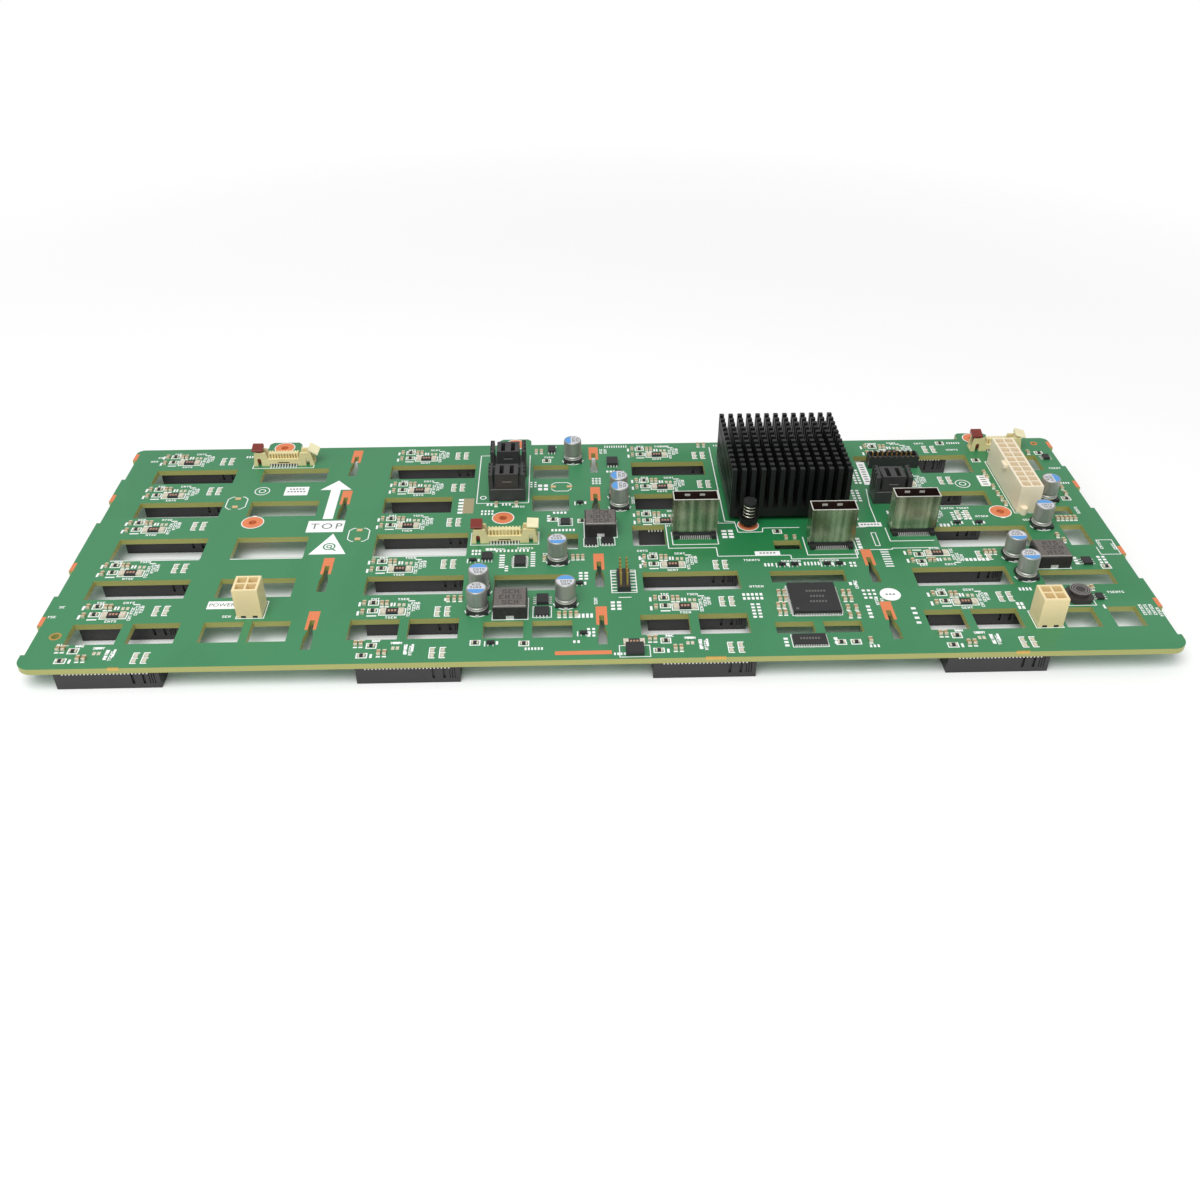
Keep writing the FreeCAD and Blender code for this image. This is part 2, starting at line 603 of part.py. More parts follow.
def cable_header(x, y, contacts):
    # A low tray with a tongue for the contacts, and forked ears that hold the levers
    length = header_length(contacts)
    x0 = x - length / 2
    x1 = x + length / 2
    front = y - HEADER_D / 2
    back = y + HEADER_D / 2
    fork_w = HEADER_D - 2 * HEADER_EAR_T
    tray = box(x0 + HEADER_EAR_L, x1 - HEADER_EAR_L, front, back, TOP, TOP + HEADER_WALL_H)
    hollow = box(x0 + HEADER_EAR_L, x1 - HEADER_EAR_L, front + HEADER_EAR_T, back - HEADER_EAR_T,
                 TOP + HEADER_FLOOR, TOP + HEADER_WALL_H)
    tongue_l = contacts * HEADER_PITCH + 2 * HEADER_TONGUE_MARGIN
    tongue = centred_box(x, y, tongue_l, HEADER_TONGUE_T, TOP + HEADER_FLOOR, TOP + HEADER_TONGUE_H)
    solids = [tray.cut(hollow), tongue]
    for end, side in ((x0, 1), (x1, -1)):
        inner = end + side * HEADER_EAR_L
        profile = [Vector(end, front, TOP), Vector(inner, front, TOP),
                   Vector(inner, front, TOP + HEADER_WALL_H),
                   Vector(inner - side * HEADER_EAR_SLOPE, front, TOP + HEADER_EAR_H),
                   Vector(end + side * HEADER_EAR_SLOPE, front, TOP + HEADER_EAR_H)]
        ear = prism(profile, Vector(0, HEADER_D, 0))
        fork = centred_box((end + inner) / 2, y, HEADER_EAR_L, fork_w, TOP + HEADER_FLOOR, TOP + HEADER_EAR_H)
        pivot_x = end + side * LEVER_PIVOT_FROM_END
        seat_r = LEVER_TRUNNION_R + LEVER_CLEARANCE
        pivot = Vector(pivot_x, front, TOP + LEVER_PIVOT_H)
        seat = Part.makeCylinder(seat_r, HEADER_D, pivot, Vector(0, 1, 0))
        entry = centred_box(pivot_x, y, 2 * seat_r, HEADER_D, TOP, TOP + LEVER_PIVOT_H)
        solids.append(ear.cut([fork, seat, entry]))
    return fused(solids)


def header_lever(end, side, y, lean):
    # side points from the header's end to its middle. The lever stands up and leans outwards by lean degrees
    x = end + side * LEVER_PIVOT_FROM_END
    stem_w = HEADER_D - 2 * HEADER_EAR_T - 2 * LEVER_SIDE_GAP
    half = LEVER_STEM_L / 2
    cut_half = half - LEVER_FOOT_CHAMFER
    toe_end = half + LEVER_TOE_L
    foot_z = TOP + LEVER_FOOT_H
    toe_z = foot_z + LEVER_FOOT_CHAMFER
    head_z = TOP + LEVER_HEAD_FROM
    outline = (
        (-half, head_z), (-half, toe_z), (-cut_half, foot_z), (cut_half, foot_z), (half, toe_z),
        (toe_end, toe_z), (toe_end, toe_z + LEVER_TOE_H), (half, toe_z + LEVER_TOE_H), (half, head_z),
    )
    stem = prism([Vector(x + side * dx, y - stem_w / 2, z) for dx, z in outline], Vector(0, stem_w, 0))
    pivot = Vector(x, y, TOP + LEVER_PIVOT_H)
    trunnion_l = HEADER_D - 2 * LEVER_TRUNNION_RECESS
    turns = [2 * math.pi * (k + 0.5) / LEVER_TRUNNION_SIDES for k in range(LEVER_TRUNNION_SIDES)]
    r = LEVER_TRUNNION_R
    ring = [Vector(r * math.cos(t), -trunnion_l / 2, r * math.sin(t)) for t in turns]
    trunnion = prism([pivot + point for point in ring], Vector(0, trunnion_l, 0))
    head_x = x - side * LEVER_HEAD_OUT - LEVER_HEAD_L / 2
    head_y0 = y - LEVER_HEAD_D / 2
    head_y1 = y + LEVER_HEAD_D / 2
    back_z = head_z + LEVER_HEAD_BACK_T
    front_z = head_z + LEVER_HEAD_FRONT_T
    profile = [Vector(head_x, head_y0, head_z), Vector(head_x, head_y1, head_z),
               Vector(head_x, head_y1, back_z), Vector(head_x, head_y0, front_z)]
    head = prism(profile, Vector(LEVER_HEAD_L, 0, 0))
    lever = fused([stem, trunnion, head])
    lever.rotate(pivot, Vector(0, 1, 0), -side * lean)
    return lever


def power_header(x0, y0, rows):
    w = (POWER_COLUMNS - 1) * POWER_PITCH + 2 * POWER_MARGIN
    d = (rows - 1) * POWER_PITCH + 2 * POWER_MARGIN
    top = TOP + POWER_H
    floor = top - POWER_CELL_DEPTH
    cells = [centred_box(cx, cy, POWER_CELL_W, POWER_CELL_W, floor, top + 1)
             for cx, cy in power_cells(x0, y0, rows)]
    body = box(x0, x0 + w, y0, y0 + d, TOP, top).cut(cells)
    if rows < POWER_LONG_ROWS:
        return body
    # Only the long header has a latch nub on its side and a locating peg in front
    nub_top = top - LATCH_FROM_TOP
    nub = centred_box(x0 - LATCH_REACH / 2, y0 + d / 2, LATCH_REACH, LATCH_L, nub_top - LATCH_T, nub_top)
    peg_x = x0 + POWER_MARGIN
    peg = Part.makeCylinder(PEG_R, PEG_H, Vector(peg_x, y0 - PEG_R, TOP))
    web = centred_box(peg_x, y0 - PEG_R / 2, 2 * PEG_R, PEG_R, TOP, TOP + PEG_H)
    return fused([body, nub, peg, web])


def power_cells(x0, y0, rows):
    return [(x0 + POWER_MARGIN + i * POWER_PITCH, y0 + POWER_MARGIN + j * POWER_PITCH)
            for i in range(POWER_COLUMNS) for j in range(rows)]


def power_pins(x0, y0, rows):
    floor = TOP + POWER_H - POWER_CELL_DEPTH
    return [centred_box(cx, cy, POWER_PIN_W, POWER_PIN_W, floor, TOP + POWER_PIN_TOP)
            for cx, cy in power_cells(x0, y0, rows)]


def capacitor_can(x, y):
    return Part.makeCylinder(CAN_R, CAN_H - CAN_BASE_T, Vector(x, y, TOP + CAN_BASE_T))


def capacitor_base(x, y):
    half = CAN_BASE_W / 2
    cut = CAN_BASE_CHAMFER
    points = [Vector(x - half, y - half, TOP), Vector(x + half, y - half, TOP),
              Vector(x + half, y + half - cut, TOP), Vector(x + half - cut, y + half, TOP),
              Vector(x - half + cut, y + half, TOP), Vector(x - half, y + half - cut, TOP)]
    return prism(points, Vector(0, 0, CAN_BASE_T))


def inductor(x, y, w, d, h):
    block = centred_box(x, y, w, d, TOP, TOP + h)
    top_edges = [e for e in block.Edges if all(abs(v.Z - TOP - h) < 1e-6 for v in e.Vertexes)]
    return block.makeChamfer(INDUCTOR_EDGE, top_edges)


def round_inductor():
    x, y = ROUND_INDUCTOR
    base = centred_box(x, y, ROUND_INDUCTOR_W, ROUND_INDUCTOR_W, TOP, TOP + ROUND_INDUCTOR_BASE)
    upright = [e for e in base.Edges if abs(e.Vertexes[0].Z - e.Vertexes[1].Z) > 1e-6]
    base = base.makeChamfer(ROUND_INDUCTOR_CHAMFER, upright)
    drum_h = ROUND_INDUCTOR_H - ROUND_INDUCTOR_BASE
    drum = Part.makeCylinder(ROUND_INDUCTOR_R, drum_h, Vector(x, y, TOP + ROUND_INDUCTOR_BASE))
    return fused([base, drum])


def pin_header_places():
    return [(PIN_HEADER_X + (i - 0.5) * PIN_GRID, PIN_HEADER_FRONT + (j + 0.5) * PIN_GRID)
            for i in range(2) for j in range(PIN_HEADER_ROWS)]


def pin_header_body():
    depth = PIN_HEADER_ROWS * PIN_GRID
    y = PIN_HEADER_FRONT + depth / 2
    body = centred_box(PIN_HEADER_X, y, 2 * PIN_GRID, depth, TOP, TOP + PIN_HEADER_BODY_H)
    bores = [centred_box(px, py, PIN_HEADER_PIN_W, PIN_HEADER_PIN_W, TOP, TOP + PIN_HEADER_BODY_H)
             for px, py in pin_header_places()]
    return body.cut(bores)


def pin_header_pins():
    return [centred_box(px, py, PIN_HEADER_PIN_W, PIN_HEADER_PIN_W, TOP, TOP + PIN_HEADER_PIN_TOP)
            for px, py in pin_header_places()]


def main():
    os.makedirs("parts", exist_ok=True)
    save("circuit_board", circuit_board())
    for row, column, x, y in socket_places():
        save("drive_socket_row%d_column%d" % (row, column), drive_socket(x, y))
    save("heat_sink", heat_sink())
    save("push_pins", Part.makeCompound([push_pin(x, y) for x, y in push_pin_places()]))
    save("push_pin_springs", Part.makeCompound([push_pin_spring(x, y) for x, y in push_pin_places()]))
    save("main_chip", chip(SINK_X, SINK_Y, MAIN_CHIP_W, MAIN_CHIP_W, MAIN_CHIP_T))
    save("controller_chip", chip(*CONTROLLER_CHIP))
    save("logic_chips", Part.makeCompound([chip(*values) for values in LOGIC_CHIPS]))
    for number, (x, front) in enumerate(PORTS, 1):
        save("port_cage_%d" % number, port_cage(x, front))
        save("port_insert_%d" % number, port_insert(x, front))
    for number, (x, front) in enumerate(UPRIGHT_SOCKETS, 1):
        save("upright_socket_%d" % number, upright_socket(x, front))
    save("box_socket", box_socket())
    for number, (x, y, count, left_lean, right_lean) in enumerate(CABLE_HEADERS, 1):
        half = header_length(count) / 2
        save("cable_header_%d" % number, cable_header(x, y, count))
        save("header_lever_%d_left" % number, header_lever(x - half, 1, y, left_lean))
        save("header_lever_%d_right" % number, header_lever(x + half, -1, y, right_lean))
    power = []
    for node, x0, y0, rows in POWER_HEADERS:
        save(node, power_header(x0, y0, rows))
        power += power_pins(x0, y0, rows)
    save("power_header_pins", Part.makeCompound(power))
    save("capacitor_cans", Part.makeCompound([capacitor_can(x, y) for x, y in CAPACITORS]))
    save("capacitor_bases", Part.makeCompound([capacitor_base(x, y) for x, y in CAPACITORS]))
    save("inductors", Part.makeCompound([inductor(*values) for values in INDUCTORS]))
    save("round_inductor", round_inductor())
    save("pin_header_body", pin_header_body())
    save("pin_header_pins", Part.makeCompound(pin_header_pins()))


main()
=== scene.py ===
import math

import bmesh
import bpy
from bpy.props import FloatProperty, FloatVectorProperty, PointerProperty
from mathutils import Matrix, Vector
from mathutils.bvhtree import BVHTree


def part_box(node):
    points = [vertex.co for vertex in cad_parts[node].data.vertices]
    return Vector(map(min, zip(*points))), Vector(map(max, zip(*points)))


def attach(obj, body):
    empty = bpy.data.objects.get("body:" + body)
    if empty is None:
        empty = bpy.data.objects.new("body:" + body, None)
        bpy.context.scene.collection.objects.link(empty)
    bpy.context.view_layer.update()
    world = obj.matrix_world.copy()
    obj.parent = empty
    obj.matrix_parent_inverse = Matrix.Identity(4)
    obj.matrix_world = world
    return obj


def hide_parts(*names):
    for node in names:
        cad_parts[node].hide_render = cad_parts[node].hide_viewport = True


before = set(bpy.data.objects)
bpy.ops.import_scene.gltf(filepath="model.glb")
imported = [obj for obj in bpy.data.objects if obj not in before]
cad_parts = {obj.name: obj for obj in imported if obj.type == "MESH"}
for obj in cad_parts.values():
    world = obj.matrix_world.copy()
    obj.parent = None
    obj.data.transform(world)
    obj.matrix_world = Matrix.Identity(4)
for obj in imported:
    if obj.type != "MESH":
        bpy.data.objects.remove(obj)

bl_info = {
    "name": "Drive backplane board",
    "version": (1, 0, 0),
    "blender": (4, 5, 0),
    "location": "3D View > Sidebar > Backplane",
    "description": "Finishes the drive backplane board and adds its fine parts, light and camera",
    "category": "Object",
}

BODY = "board"
SIDES = (-1, 1)
MM = 0.001
# Places below are millimetres from the middle of the board's rectangle, with heights from the floor
BOARD_W = 430.0
BOARD_D = 161.0
MIDDLE_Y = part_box("circuit_board")[0][1] / MM + BOARD_D / 2
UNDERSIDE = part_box("circuit_board")[0][2] / MM
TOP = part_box("circuit_board")[1][2] / MM

COLUMN_XS = (-182.5, -73.5, 35.5, 144.5)
ROW_YS = (70.2, 41.6, 13.0, -18.4, -47.0, -75.6)
SLOT_XS = (-111.6, -1.8, 108.4)
SLOT_TOPS = (77.3, 41.0, -12.0, -48.3)
TAB_SCREWS = ((-146.8, 81.0), (-38.4, 81.0), (179.6, 81.0))
FIELD_SCREWS = ((-148.6, 16.0), (-41.9, 16.6), (173.2, 15.6))
PORTS = ((38.9, -0.5), (94.6, -9.9), (130.9, -0.7))
PORT_HALF_W = 9.15
UPRIGHT_SOCKETS = ((-40.4, 30.3), (-40.4, 50.4), (127.3, 23.3))
CABLE_HEADERS = ((-144.0, 66.8, 10), (-40.5, -0.3, 10), (187.0, 71.2, 7))
CAPACITORS = (
    (-11.4, 66.2, 90), (8.4, 34.0, 90), (8.5, 25.3, 90), (-18.5, -15.7, 180), (-49.2, -36.0, 0),
    (-49.3, -48.6, 180), (-15.4, -44.9, 0), (197.0, 26.2, 270), (187.2, 4.8, 0), (168.0, -18.1, 180),
    (168.9, -32.1, 180),
)
PUSH_PINS = ((62.5, 7.9), (97.5, 64.9))
CONTROLLER_CHIP = (80.9, -46.6)
FLAT_CHIP = (75.1, -71.8)
# Middle x and y, width, depth and height
INDUCTORS = ((-36.7, -48.9, 13.0, 12.8, 5.9), (-0.4, 6.6, 13.2, 11.8, 6.4), (181.9, -21.4, 13.0, 12.6, 5.8))
ROUND_INDUCTOR = (184.6, -47.6)
ROUND_INDUCTOR_H = 3.9
# Left near corner of each power header, and its rows of two cells
POWER_HEADERS = ((179.7, 14.7, 10), (-140.7, -51.6, 2), (162.4, -66.2, 2))
CELL_PITCH = 4.2
CELL_FROM_CORNER = 2.7
PIN_HEADER_X = 7.6
PIN_HEADER_FIRST_Y = -37.73
PIN_PITCH = 2.54

# The hanging slots' copper: half widths of the pad and of its neck, and lengths from its far end
PAD_HALF_W = 2.15
PAD_NECK_HALF_W = 0.95
PAD_L = 11.5
PAD_NECK_FROM = 5.7
# Radii of the copper round the screw holes and the push pins
SCREW_PAD_R = 4.4
PIN_PAD_R = 4.2
# Widths of the printed lines, of the outlines round parts and of the frames round small parts
LINE_W = 0.4
OUTLINE_W = 0.35
FRAME_W = 0.45
# Metres between the contacts of the sockets and the leads of the small chips
CONTACT_PITCH = 0.00127

# The camera stands as in the photograph, and the lamp hangs left of it. Places in metres, turns in
# degrees. The floor fades between these distances from the middle
CAMERA_AT = (-0.01338, -0.41689, 0.28261)
CAMERA_TURNS = (53.633, -0.04, -1.7175)
LAMP_AT = (-0.22, -0.6, 1.2)
LAMP_TURNS = (26.5, -9.5, 0)
LAMP_SIZE = 1.1
FLOOR_HALF = 1.2
FLOOR_DROP = 0.0001
FLOOR_FADE = (0.26, 0.62)

# For the finishes, in metres: solid copper as left, right, near, far and softness, heights of the heat
# sink's pin tips, where a highlight is painted, and the depth of a power header's cells, below whose mouth a
# glow is painted, with the height of their lip
COPPER_MIDDLE = (0.018, 0.124, -0.021, 0.070, 0.004)
COPPER_CORNER = (0.150, 0.212, -0.050, 0.075, 0.006)
FIN_TIPS = (0.0339, 0.0349)
CELL_DEPTH = 0.0125
CELL_LIP = 0.0002

# Strokes of four marks of the size of printed letters: along, across, width and depth of each
LETTERS = (
    ((-0.3, 0.0, 0.3, 1.3), (0.1, 0.5, 0.7, 0.3), (0.1, -0.5, 0.7, 0.3)),
    ((-0.3, 0.0, 0.3, 1.3), (0.3, 0.0, 0.3, 1.3), (0.0, 0.1, 0.5, 0.3)),
    ((0.0, 0.0, 0.3, 1.3), (0.0, 0.5, 0.8, 0.3)),
    ((-0.3, 0.3, 0.3, 0.7), (0.3, -0.3, 0.3, 0.7), (0.0, 0.5, 0.8, 0.3), (0.0, -0.5, 0.8, 0.3)),
)
LETTER_PITCH = 1.15
# Half the outline printed round a lamp
BRACKET = ((1.6, 5.0), (2.6, 5.0), (4.3, 3.2), (4.3, -3.2), (2.6, -5.0), (1.6, -5.0))
# Lamps: middle, turn and size of the outline
LAMPS = ((-158.8, 32.0, 0, 1.0), (-102.1, 5.1, 0, 1.0), (-16.8, 41.7, 90, 0.85))
ARROW = (
    (-119.2, 17.9), (-114.9, 17.9), (-114.9, 42.0), (-110.2, 42.0), (-116.9, 50.0), (-124.0, 42.0),
    (-119.2, 42.0),
)
TRIANGLE = ((-120.8, -9.2), (-105.6, -9.2), (-112.9, 6.2))
RING_SIGNS = ((-149.6, 41.8), (163.3, 39.2))
# The arrow's box and the plain labels: left, right, near, far
LABELS = (
    (-124.8, -109.2, 7.5, 16.4), (-139.6, -129.2, 37.8, 45.0), (-153.8, -141.4, -45.7, -40.7),
    (171.3, 176.0, 36.9, 46.2), (62.5, 72.9, -15.0, -12.2), (119.2, 122.9, 39.6, 59.7),
    (109.6, 119.4, 5.2, 8.3),
)
ROUND_LABEL = (111.6, -43.7)
# Rows of blocks on the labels: middle x and y, and how many
LABEL_ROWS = ((-134.4, 43.0, 5), (-134.4, 40.8, 6), (67.7, -13.6, 5), (114.5, 6.8, 6), ROUND_LABEL + (3,))
# Printed lines are laid in pieces of about this length
LINE_PIECE = 2.5
# Radius and height pairs from foot to crown: a can with its crimp, the rolled rim at its foot, and a
# cone of solder under the board
CAN_PROFILE = (
    (3.6, 0.0), (3.95, 0.15), (4.0, 0.5), (3.98, 1.0), (3.66, 1.35), (3.6, 1.6), (3.66, 1.85), (3.98, 2.2),
    (4.0, 2.6), (4.0, 8.2), (3.93, 8.55), (3.72, 8.78), (3.5, 8.72), (3.45, 8.62),
)
RIM_PROFILE = ((3.7, 0.0), (4.06, 0.06), (4.1, 0.25), (4.06, 0.44), (3.9, 0.5))
SOLDER_PROFILE = ((0.35, -1.3), (0.5, -1.0), (0.8, -0.25), (1.1, 0.0))
# A height over all parts, and how far a place may lie under the board's top, in metres
CLEAR_ABOVE = 0.1
FLAT_WITHIN = 0.0001
# Levers: corners closer than this are one, and edges sharper and longer than this are eased so far
WELD = 0.000002
SHARP = 0.9
LONG_EDGE = 0.0011
EASED = 0.0004
# Crossing marks stand this much apart in height, in a cycle of so many steps
MARK_STEP = 0.0008
MARK_STEPS = 7
BAR_FACES = 6
RING_SIDES = 36


def tint(code):
    """Turns a six-digit colour code into the linear values that a shader takes."""
    values = []
    for i in (0, 2, 4):
        v = int(code[i:i + 2], 16) / 255
        values.append(v / 12.92 if v <= 0.04045 else ((v + 0.055) / 1.055) ** 2.4)
    return tuple(values)


def colour_setting(name, words, code):
    return FloatVectorProperty(name=name, description=words, default=tint(code), size=3, min=0, max=1,
                               subtype="COLOR")


def size_setting(name, words, default):
    return FloatProperty(name=name, description=words, default=default, min=0, unit="LENGTH", precision=5)


class BoardSettings(bpy.types.PropertyGroup):
    lacquer: colour_setting("Lacquer", "Green lacquer over open board", "3d8759")
    plane_lacquer: colour_setting("Lacquer over copper", "Green lacquer over solid copper", "1f7b44")
    cut_edge: colour_setting("Cut edge", "Glass fibre laminate at the cut edges", "a8aa62")
    copper: colour_setting("Copper", "Bare copper at slots and screw holes", "f08d5e")
    ink: colour_setting("Ink", "White print on the lacquer", "ffffff")
    ink_height: size_setting("Ink height", "How far the print stands above the lacquer", 0.00004)
    pad_height: size_setting("Pad height", "How far bare copper stands above the lacquer", 0.00005)


class PartSettings(bpy.types.PropertyGroup):
    black: colour_setting("Black plastic", "Sockets and inserts", "2d2c2d")
    package: colour_setting("Chip package", "Moulded chips", "2b2a2c")
    anodised: colour_setting("Anodised metal", "Heat sink", "1d1d1e")
    cage: colour_setting("Cage metal", "Port cages", "c3c4ac")
    header: colour_setting("Cable header", "Cable header plastic", "e8dca6")
    lever_left: colour_setting("Left lever", "Brown levers", "7f2f25")
    lever_right: colour_setting("Right lever", "Cream levers", "eee6bd")
    power: colour_setting("Power header", "Short power header plastic", "f9e2b0")
    # The cells' inside colour is a painted glow, lighter and warmer than the plastic
    power_cell: colour_setting("Power header cell", "Inside the short power headers' cells", "ffe0a4")
    long_power: colour_setting("Long header", "Long power header plastic", "fdeccd")
    # The long header's cell colour is a painted glow, lighter and warmer than the plastic
    long_power_cell: colour_setting("Long header cell", "Inside the long power header's cells", "fff3d8")
    can: colour_setting("Can", "Capacitor cans", "b3b4af")
    can_top: colour_setting("Can top", "Capacitor tops", "d6d5dc")
    can_mark: colour_setting("Can mark", "Polarity mark on the capacitors", "5b9fe0")
    # The inductors' top and side colours are lit and shaded copies of one dark powder: painted light and
    # painted shade
    choke: colour_setting("Choke", "Tops of the pressed inductors", "6b6560")
    choke_shaded_side: colour_setting("Choke side", "Sides of the pressed inductors", "2a2827")
    solder: colour_setting("Solder", "End caps and pads of small parts", "e9e0cb")
    tinned: colour_setting("Tinned metal", "Leads and solder", "e2e2de")
    gold: colour_setting("Gold", "Plated contacts", "d8b364")
    ceramic: colour_setting("Ceramic", "Small capacitors", "ab8f63")
    resistor: colour_setting("Resistor", "Small resistors", "262428")
    cap_share: FloatProperty(name="Cap share", description="Part of a small component that an end cap takes",
                             default=0.24, min=0.05, max=0.45, subtype="FACTOR")
    lead_width: size_setting("Lead width", "Width of a port lead", 0.00027)
    lead_pitch: size_setting("Lead pitch", "Spacing of the port leads", 0.0008)
    header_pitch: size_setting("Header pitch", "Spacing of the cable header contacts", 0.00127)
    spring_radius: size_setting("Spring radius", "Radius of a spring at the middle of its wire", 0.00245)
    spring_wire: size_setting("Spring wire", "Radius of the spring wire", 0.0003)
    spring_turns: FloatProperty(name="Spring turns", description="Turns in a push pin spring", default=4.0,
                                min=1.0, max=12.0)


class StageSettings(bpy.types.PropertyGroup):
    lens: FloatProperty(name="Lens", description="Focal length of the camera in millimetres", default=35.46,
                        min=1.0)
    floor: colour_setting("Floor", "Plain pale floor", "ffffff")
    lamp_power: FloatProperty(name="Lamp power", description="Power of the soft lamp in watts", default=12.8,
                              min=0.0)
    sky: FloatProperty(name="Sky", description="Strength of the even light from all round", default=0.56,
                       min=0.0)


def about(x, y, along, across, turn):
    """The point that lies along and across from x, y, turned about it by so many degrees."""
    c, s = math.cos(math.radians(turn)), math.sin(math.radians(turn))
    return x + along * c - across * s, y + along * s + across * c


def corners_of(x, y, w, d, turn):
    return [about(x, y, u * w / 2, v * d / 2, turn) for u, v in ((-1, -1), (1, -1), (1, 1), (-1, 1))]


def spaced(middle, count, step):
    """So many places, a step apart, about their middle."""
    return [middle + (k - (count - 1) / 2) * step for k in range(count)]


def circle(x, y, r, sides):
    turns = [2 * math.pi * k / sides for k in range(sides)]
    return [(x + r * math.cos(t), y + r * math.sin(t)) for t in turns]


class Shape:
    """Gathers closed solids, given in millimetres from the middle of the board's rectangle."""

    def __init__(self, ground=None):
        self.mesh = bmesh.new()
        self.ground = ground

    def loop(self, outline, z):
        return [self.mesh.verts.new((x, y, z)) for x, y in outline]

    def band(self, lower, upper):
        """Faces between two loops of as many points."""
        for i in range(len(lower)):
            j = (i + 1) % len(lower)
            self.mesh.faces.new((lower[i], lower[j], upper[j], upper[i]))

    def prism(self, outline, low, high):
        bottom, top = self.loop(outline, low), self.loop(outline, high)
        self.mesh.faces.new(bottom[::-1])
        self.mesh.faces.new(top)
        self.band(bottom, top)

    def block(self, x0, x1, y0, y1, low, high):
        self.prism(((x0, y0), (x1, y0), (x1, y1), (x0, y1)), low, high)

    def bar(self, x, y, w, d, low, high, turn=0.0):
        """A turned block. Each next one is a hair higher, so that two that cross share no face."""
        if self.ground and not lands(self.ground, x, y, w, d, turn):
            return
        step = MARK_STEP * (len(self.mesh.faces) // BAR_FACES % MARK_STEPS)
        self.prism(corners_of(x, y, w, d, turn), low, high + step)

    def line(self, a, b, width, low, high):
        """A line in short lengths, so that only those over an opening are left out."""
        dx, dy = b[0] - a[0], b[1] - a[1]
        length = math.hypot(dx, dy)
        turn = math.degrees(math.atan2(dy, dx))
        count = max(1, round(length / LINE_PIECE))
        for k in range(count):
            t = (k + 0.5) / count
            self.bar(a[0] + dx * t, a[1] + dy * t, length / count, width, low, high, turn)

    def lines(self, corners, width, low, high):
        for a, b in zip(corners, corners[1:]):
            self.line(a, b, width, low, high)

    def word(self, x, y, count, turn, low, high, size=1.0):
        """Marks of the size of printed letters, in a row turned about its middle."""
        for k, start in enumerate(spaced(0.0, count, LETTER_PITCH)):
            for along, across, w, d in LETTERS[(k * 5 + count + int(abs(x))) % len(LETTERS)]:
                at = about(x, y, (start + along) * size, across * size, turn)
                self.bar(*at, w * size, d * size, low, high, turn)

    def bracket(self, x, y, turn, size, low, high):
        """Outline round a lamp: a box with cut corners, open where its two pads stand."""
        for side in SIDES:
            corners = [about(x, y, side * u * size, v * size, turn) for u, v in BRACKET]
            self.lines(corners, LINE_W, low, high)

    def disc(self, x, y, r, low, high, sides=28):
        self.prism(circle(x, y, r, sides), low, high)

    def ring(self, x, y, inner, outer, low, high):
        section = ((inner, low), (outer, low), (outer, high), (inner, high))
        loops = [self.loop(circle(x, y, r, RING_SIDES), z) for r, z in section]
        for a, b in zip(loops, loops[1:] + loops[:1]):
            self.band(a, b)

    def frame_line(self, x0, x1, y0, y1, t, low, high):
        """A frame of four lines just inside the box."""
        h = t / 2
        self.line((x0, y0 + h), (x1, y0 + h), t, low, high)
        self.line((x0, y1 - h), (x1, y1 - h), t, low, high)
        self.line((x0 + h, y0 + t), (x0 + h, y1 - t), t, low, high)
        self.line((x1 - h, y0 + t), (x1 - h, y1 - t), t, low, high)

    def turned(self, profile, sides=32):
        """Turns a profile of radius and height pairs, from foot to crown, about the upright at 0, 0."""
        loops = [self.loop(circle(0, 0, r, sides), z) for r, z in profile]
        for a, b in zip(loops, loops[1:]):
            self.band(a, b)
        self.mesh.faces.new(loops[0][::-1])
        self.mesh.faces.new(loops[-1])

    def to_mesh(self, name, placed=True):
        bmesh.ops.recalc_face_normals(self.mesh, faces=self.mesh.faces[:])
        shift = MIDDLE_Y if placed else 0.0
        for v in self.mesh.verts:
            v.co = (v.co.x * MM, (v.co.y + shift) * MM, v.co.z * MM)
        data = bpy.data.meshes.new(name)
        self.mesh.to_mesh(data)
        self.mesh.free()
        return data

    def settle(self, name, finish):
        """Makes the gathered solids one finished piece."""
        return keep(name, self.to_mesh(name), finish)


def board_tree():
    """The board's own faces, for asking whether solid board lies under a part."""
    mesh = bmesh.new()
    mesh.from_mesh(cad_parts["circuit_board"].data)
    tree = BVHTree.FromBMesh(mesh)
    mesh.free()
    return tree


def lands(ground, x, y, w, d, turn):
    """Whether solid board lies under the middle and all four corners of a part."""
    for u, v in corners_of(x, y, w, d, turn) + [(x, y)]:
        above = Vector((u * MM, (v + MIDDLE_Y) * MM, CLEAR_ABOVE))
        hit = ground.ray_cast(above, Vector((0, 0, -1)))[0]
        if hit is None or hit.z < TOP * MM - FLAT_WITHIN:
            return False
    return True


def landed(ground, parts):
    """The parts that have solid board under them. Each is x, y, length, width, height and turn."""
    return [part for part in parts if lands(ground, *part[:4], part[5])]


def put(name, data):
    """Adds an object to the scene."""
    made = bpy.data.objects.new(name, data)
    bpy.context.scene.collection.objects.link(made)
    return made


def baked(holder):
    """The plain mesh of an object with all that shapes it. The object itself goes."""
    graph = bpy.context.evaluated_depsgraph_get()
    data = bpy.data.meshes.new_from_object(holder.evaluated_get(graph), depsgraph=graph)
    bpy.data.objects.remove(holder)
    return data


def keep(name, data, material=None, body=BODY):
    """Makes a finished piece of a mesh that is already in place."""
    piece = put(name, data)
    if material is not None:
        data.materials.clear()
        data.materials.append(material)
    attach(piece, body)
    return piece


def wear(name, material):
    """Gives a CAD node's object a finish."""
    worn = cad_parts[name]
    if not worn.material_slots:
        worn.data.materials.append(None)
    for slot in worn.material_slots:
        slot.link = "OBJECT"
        slot.material = material


# Finishes

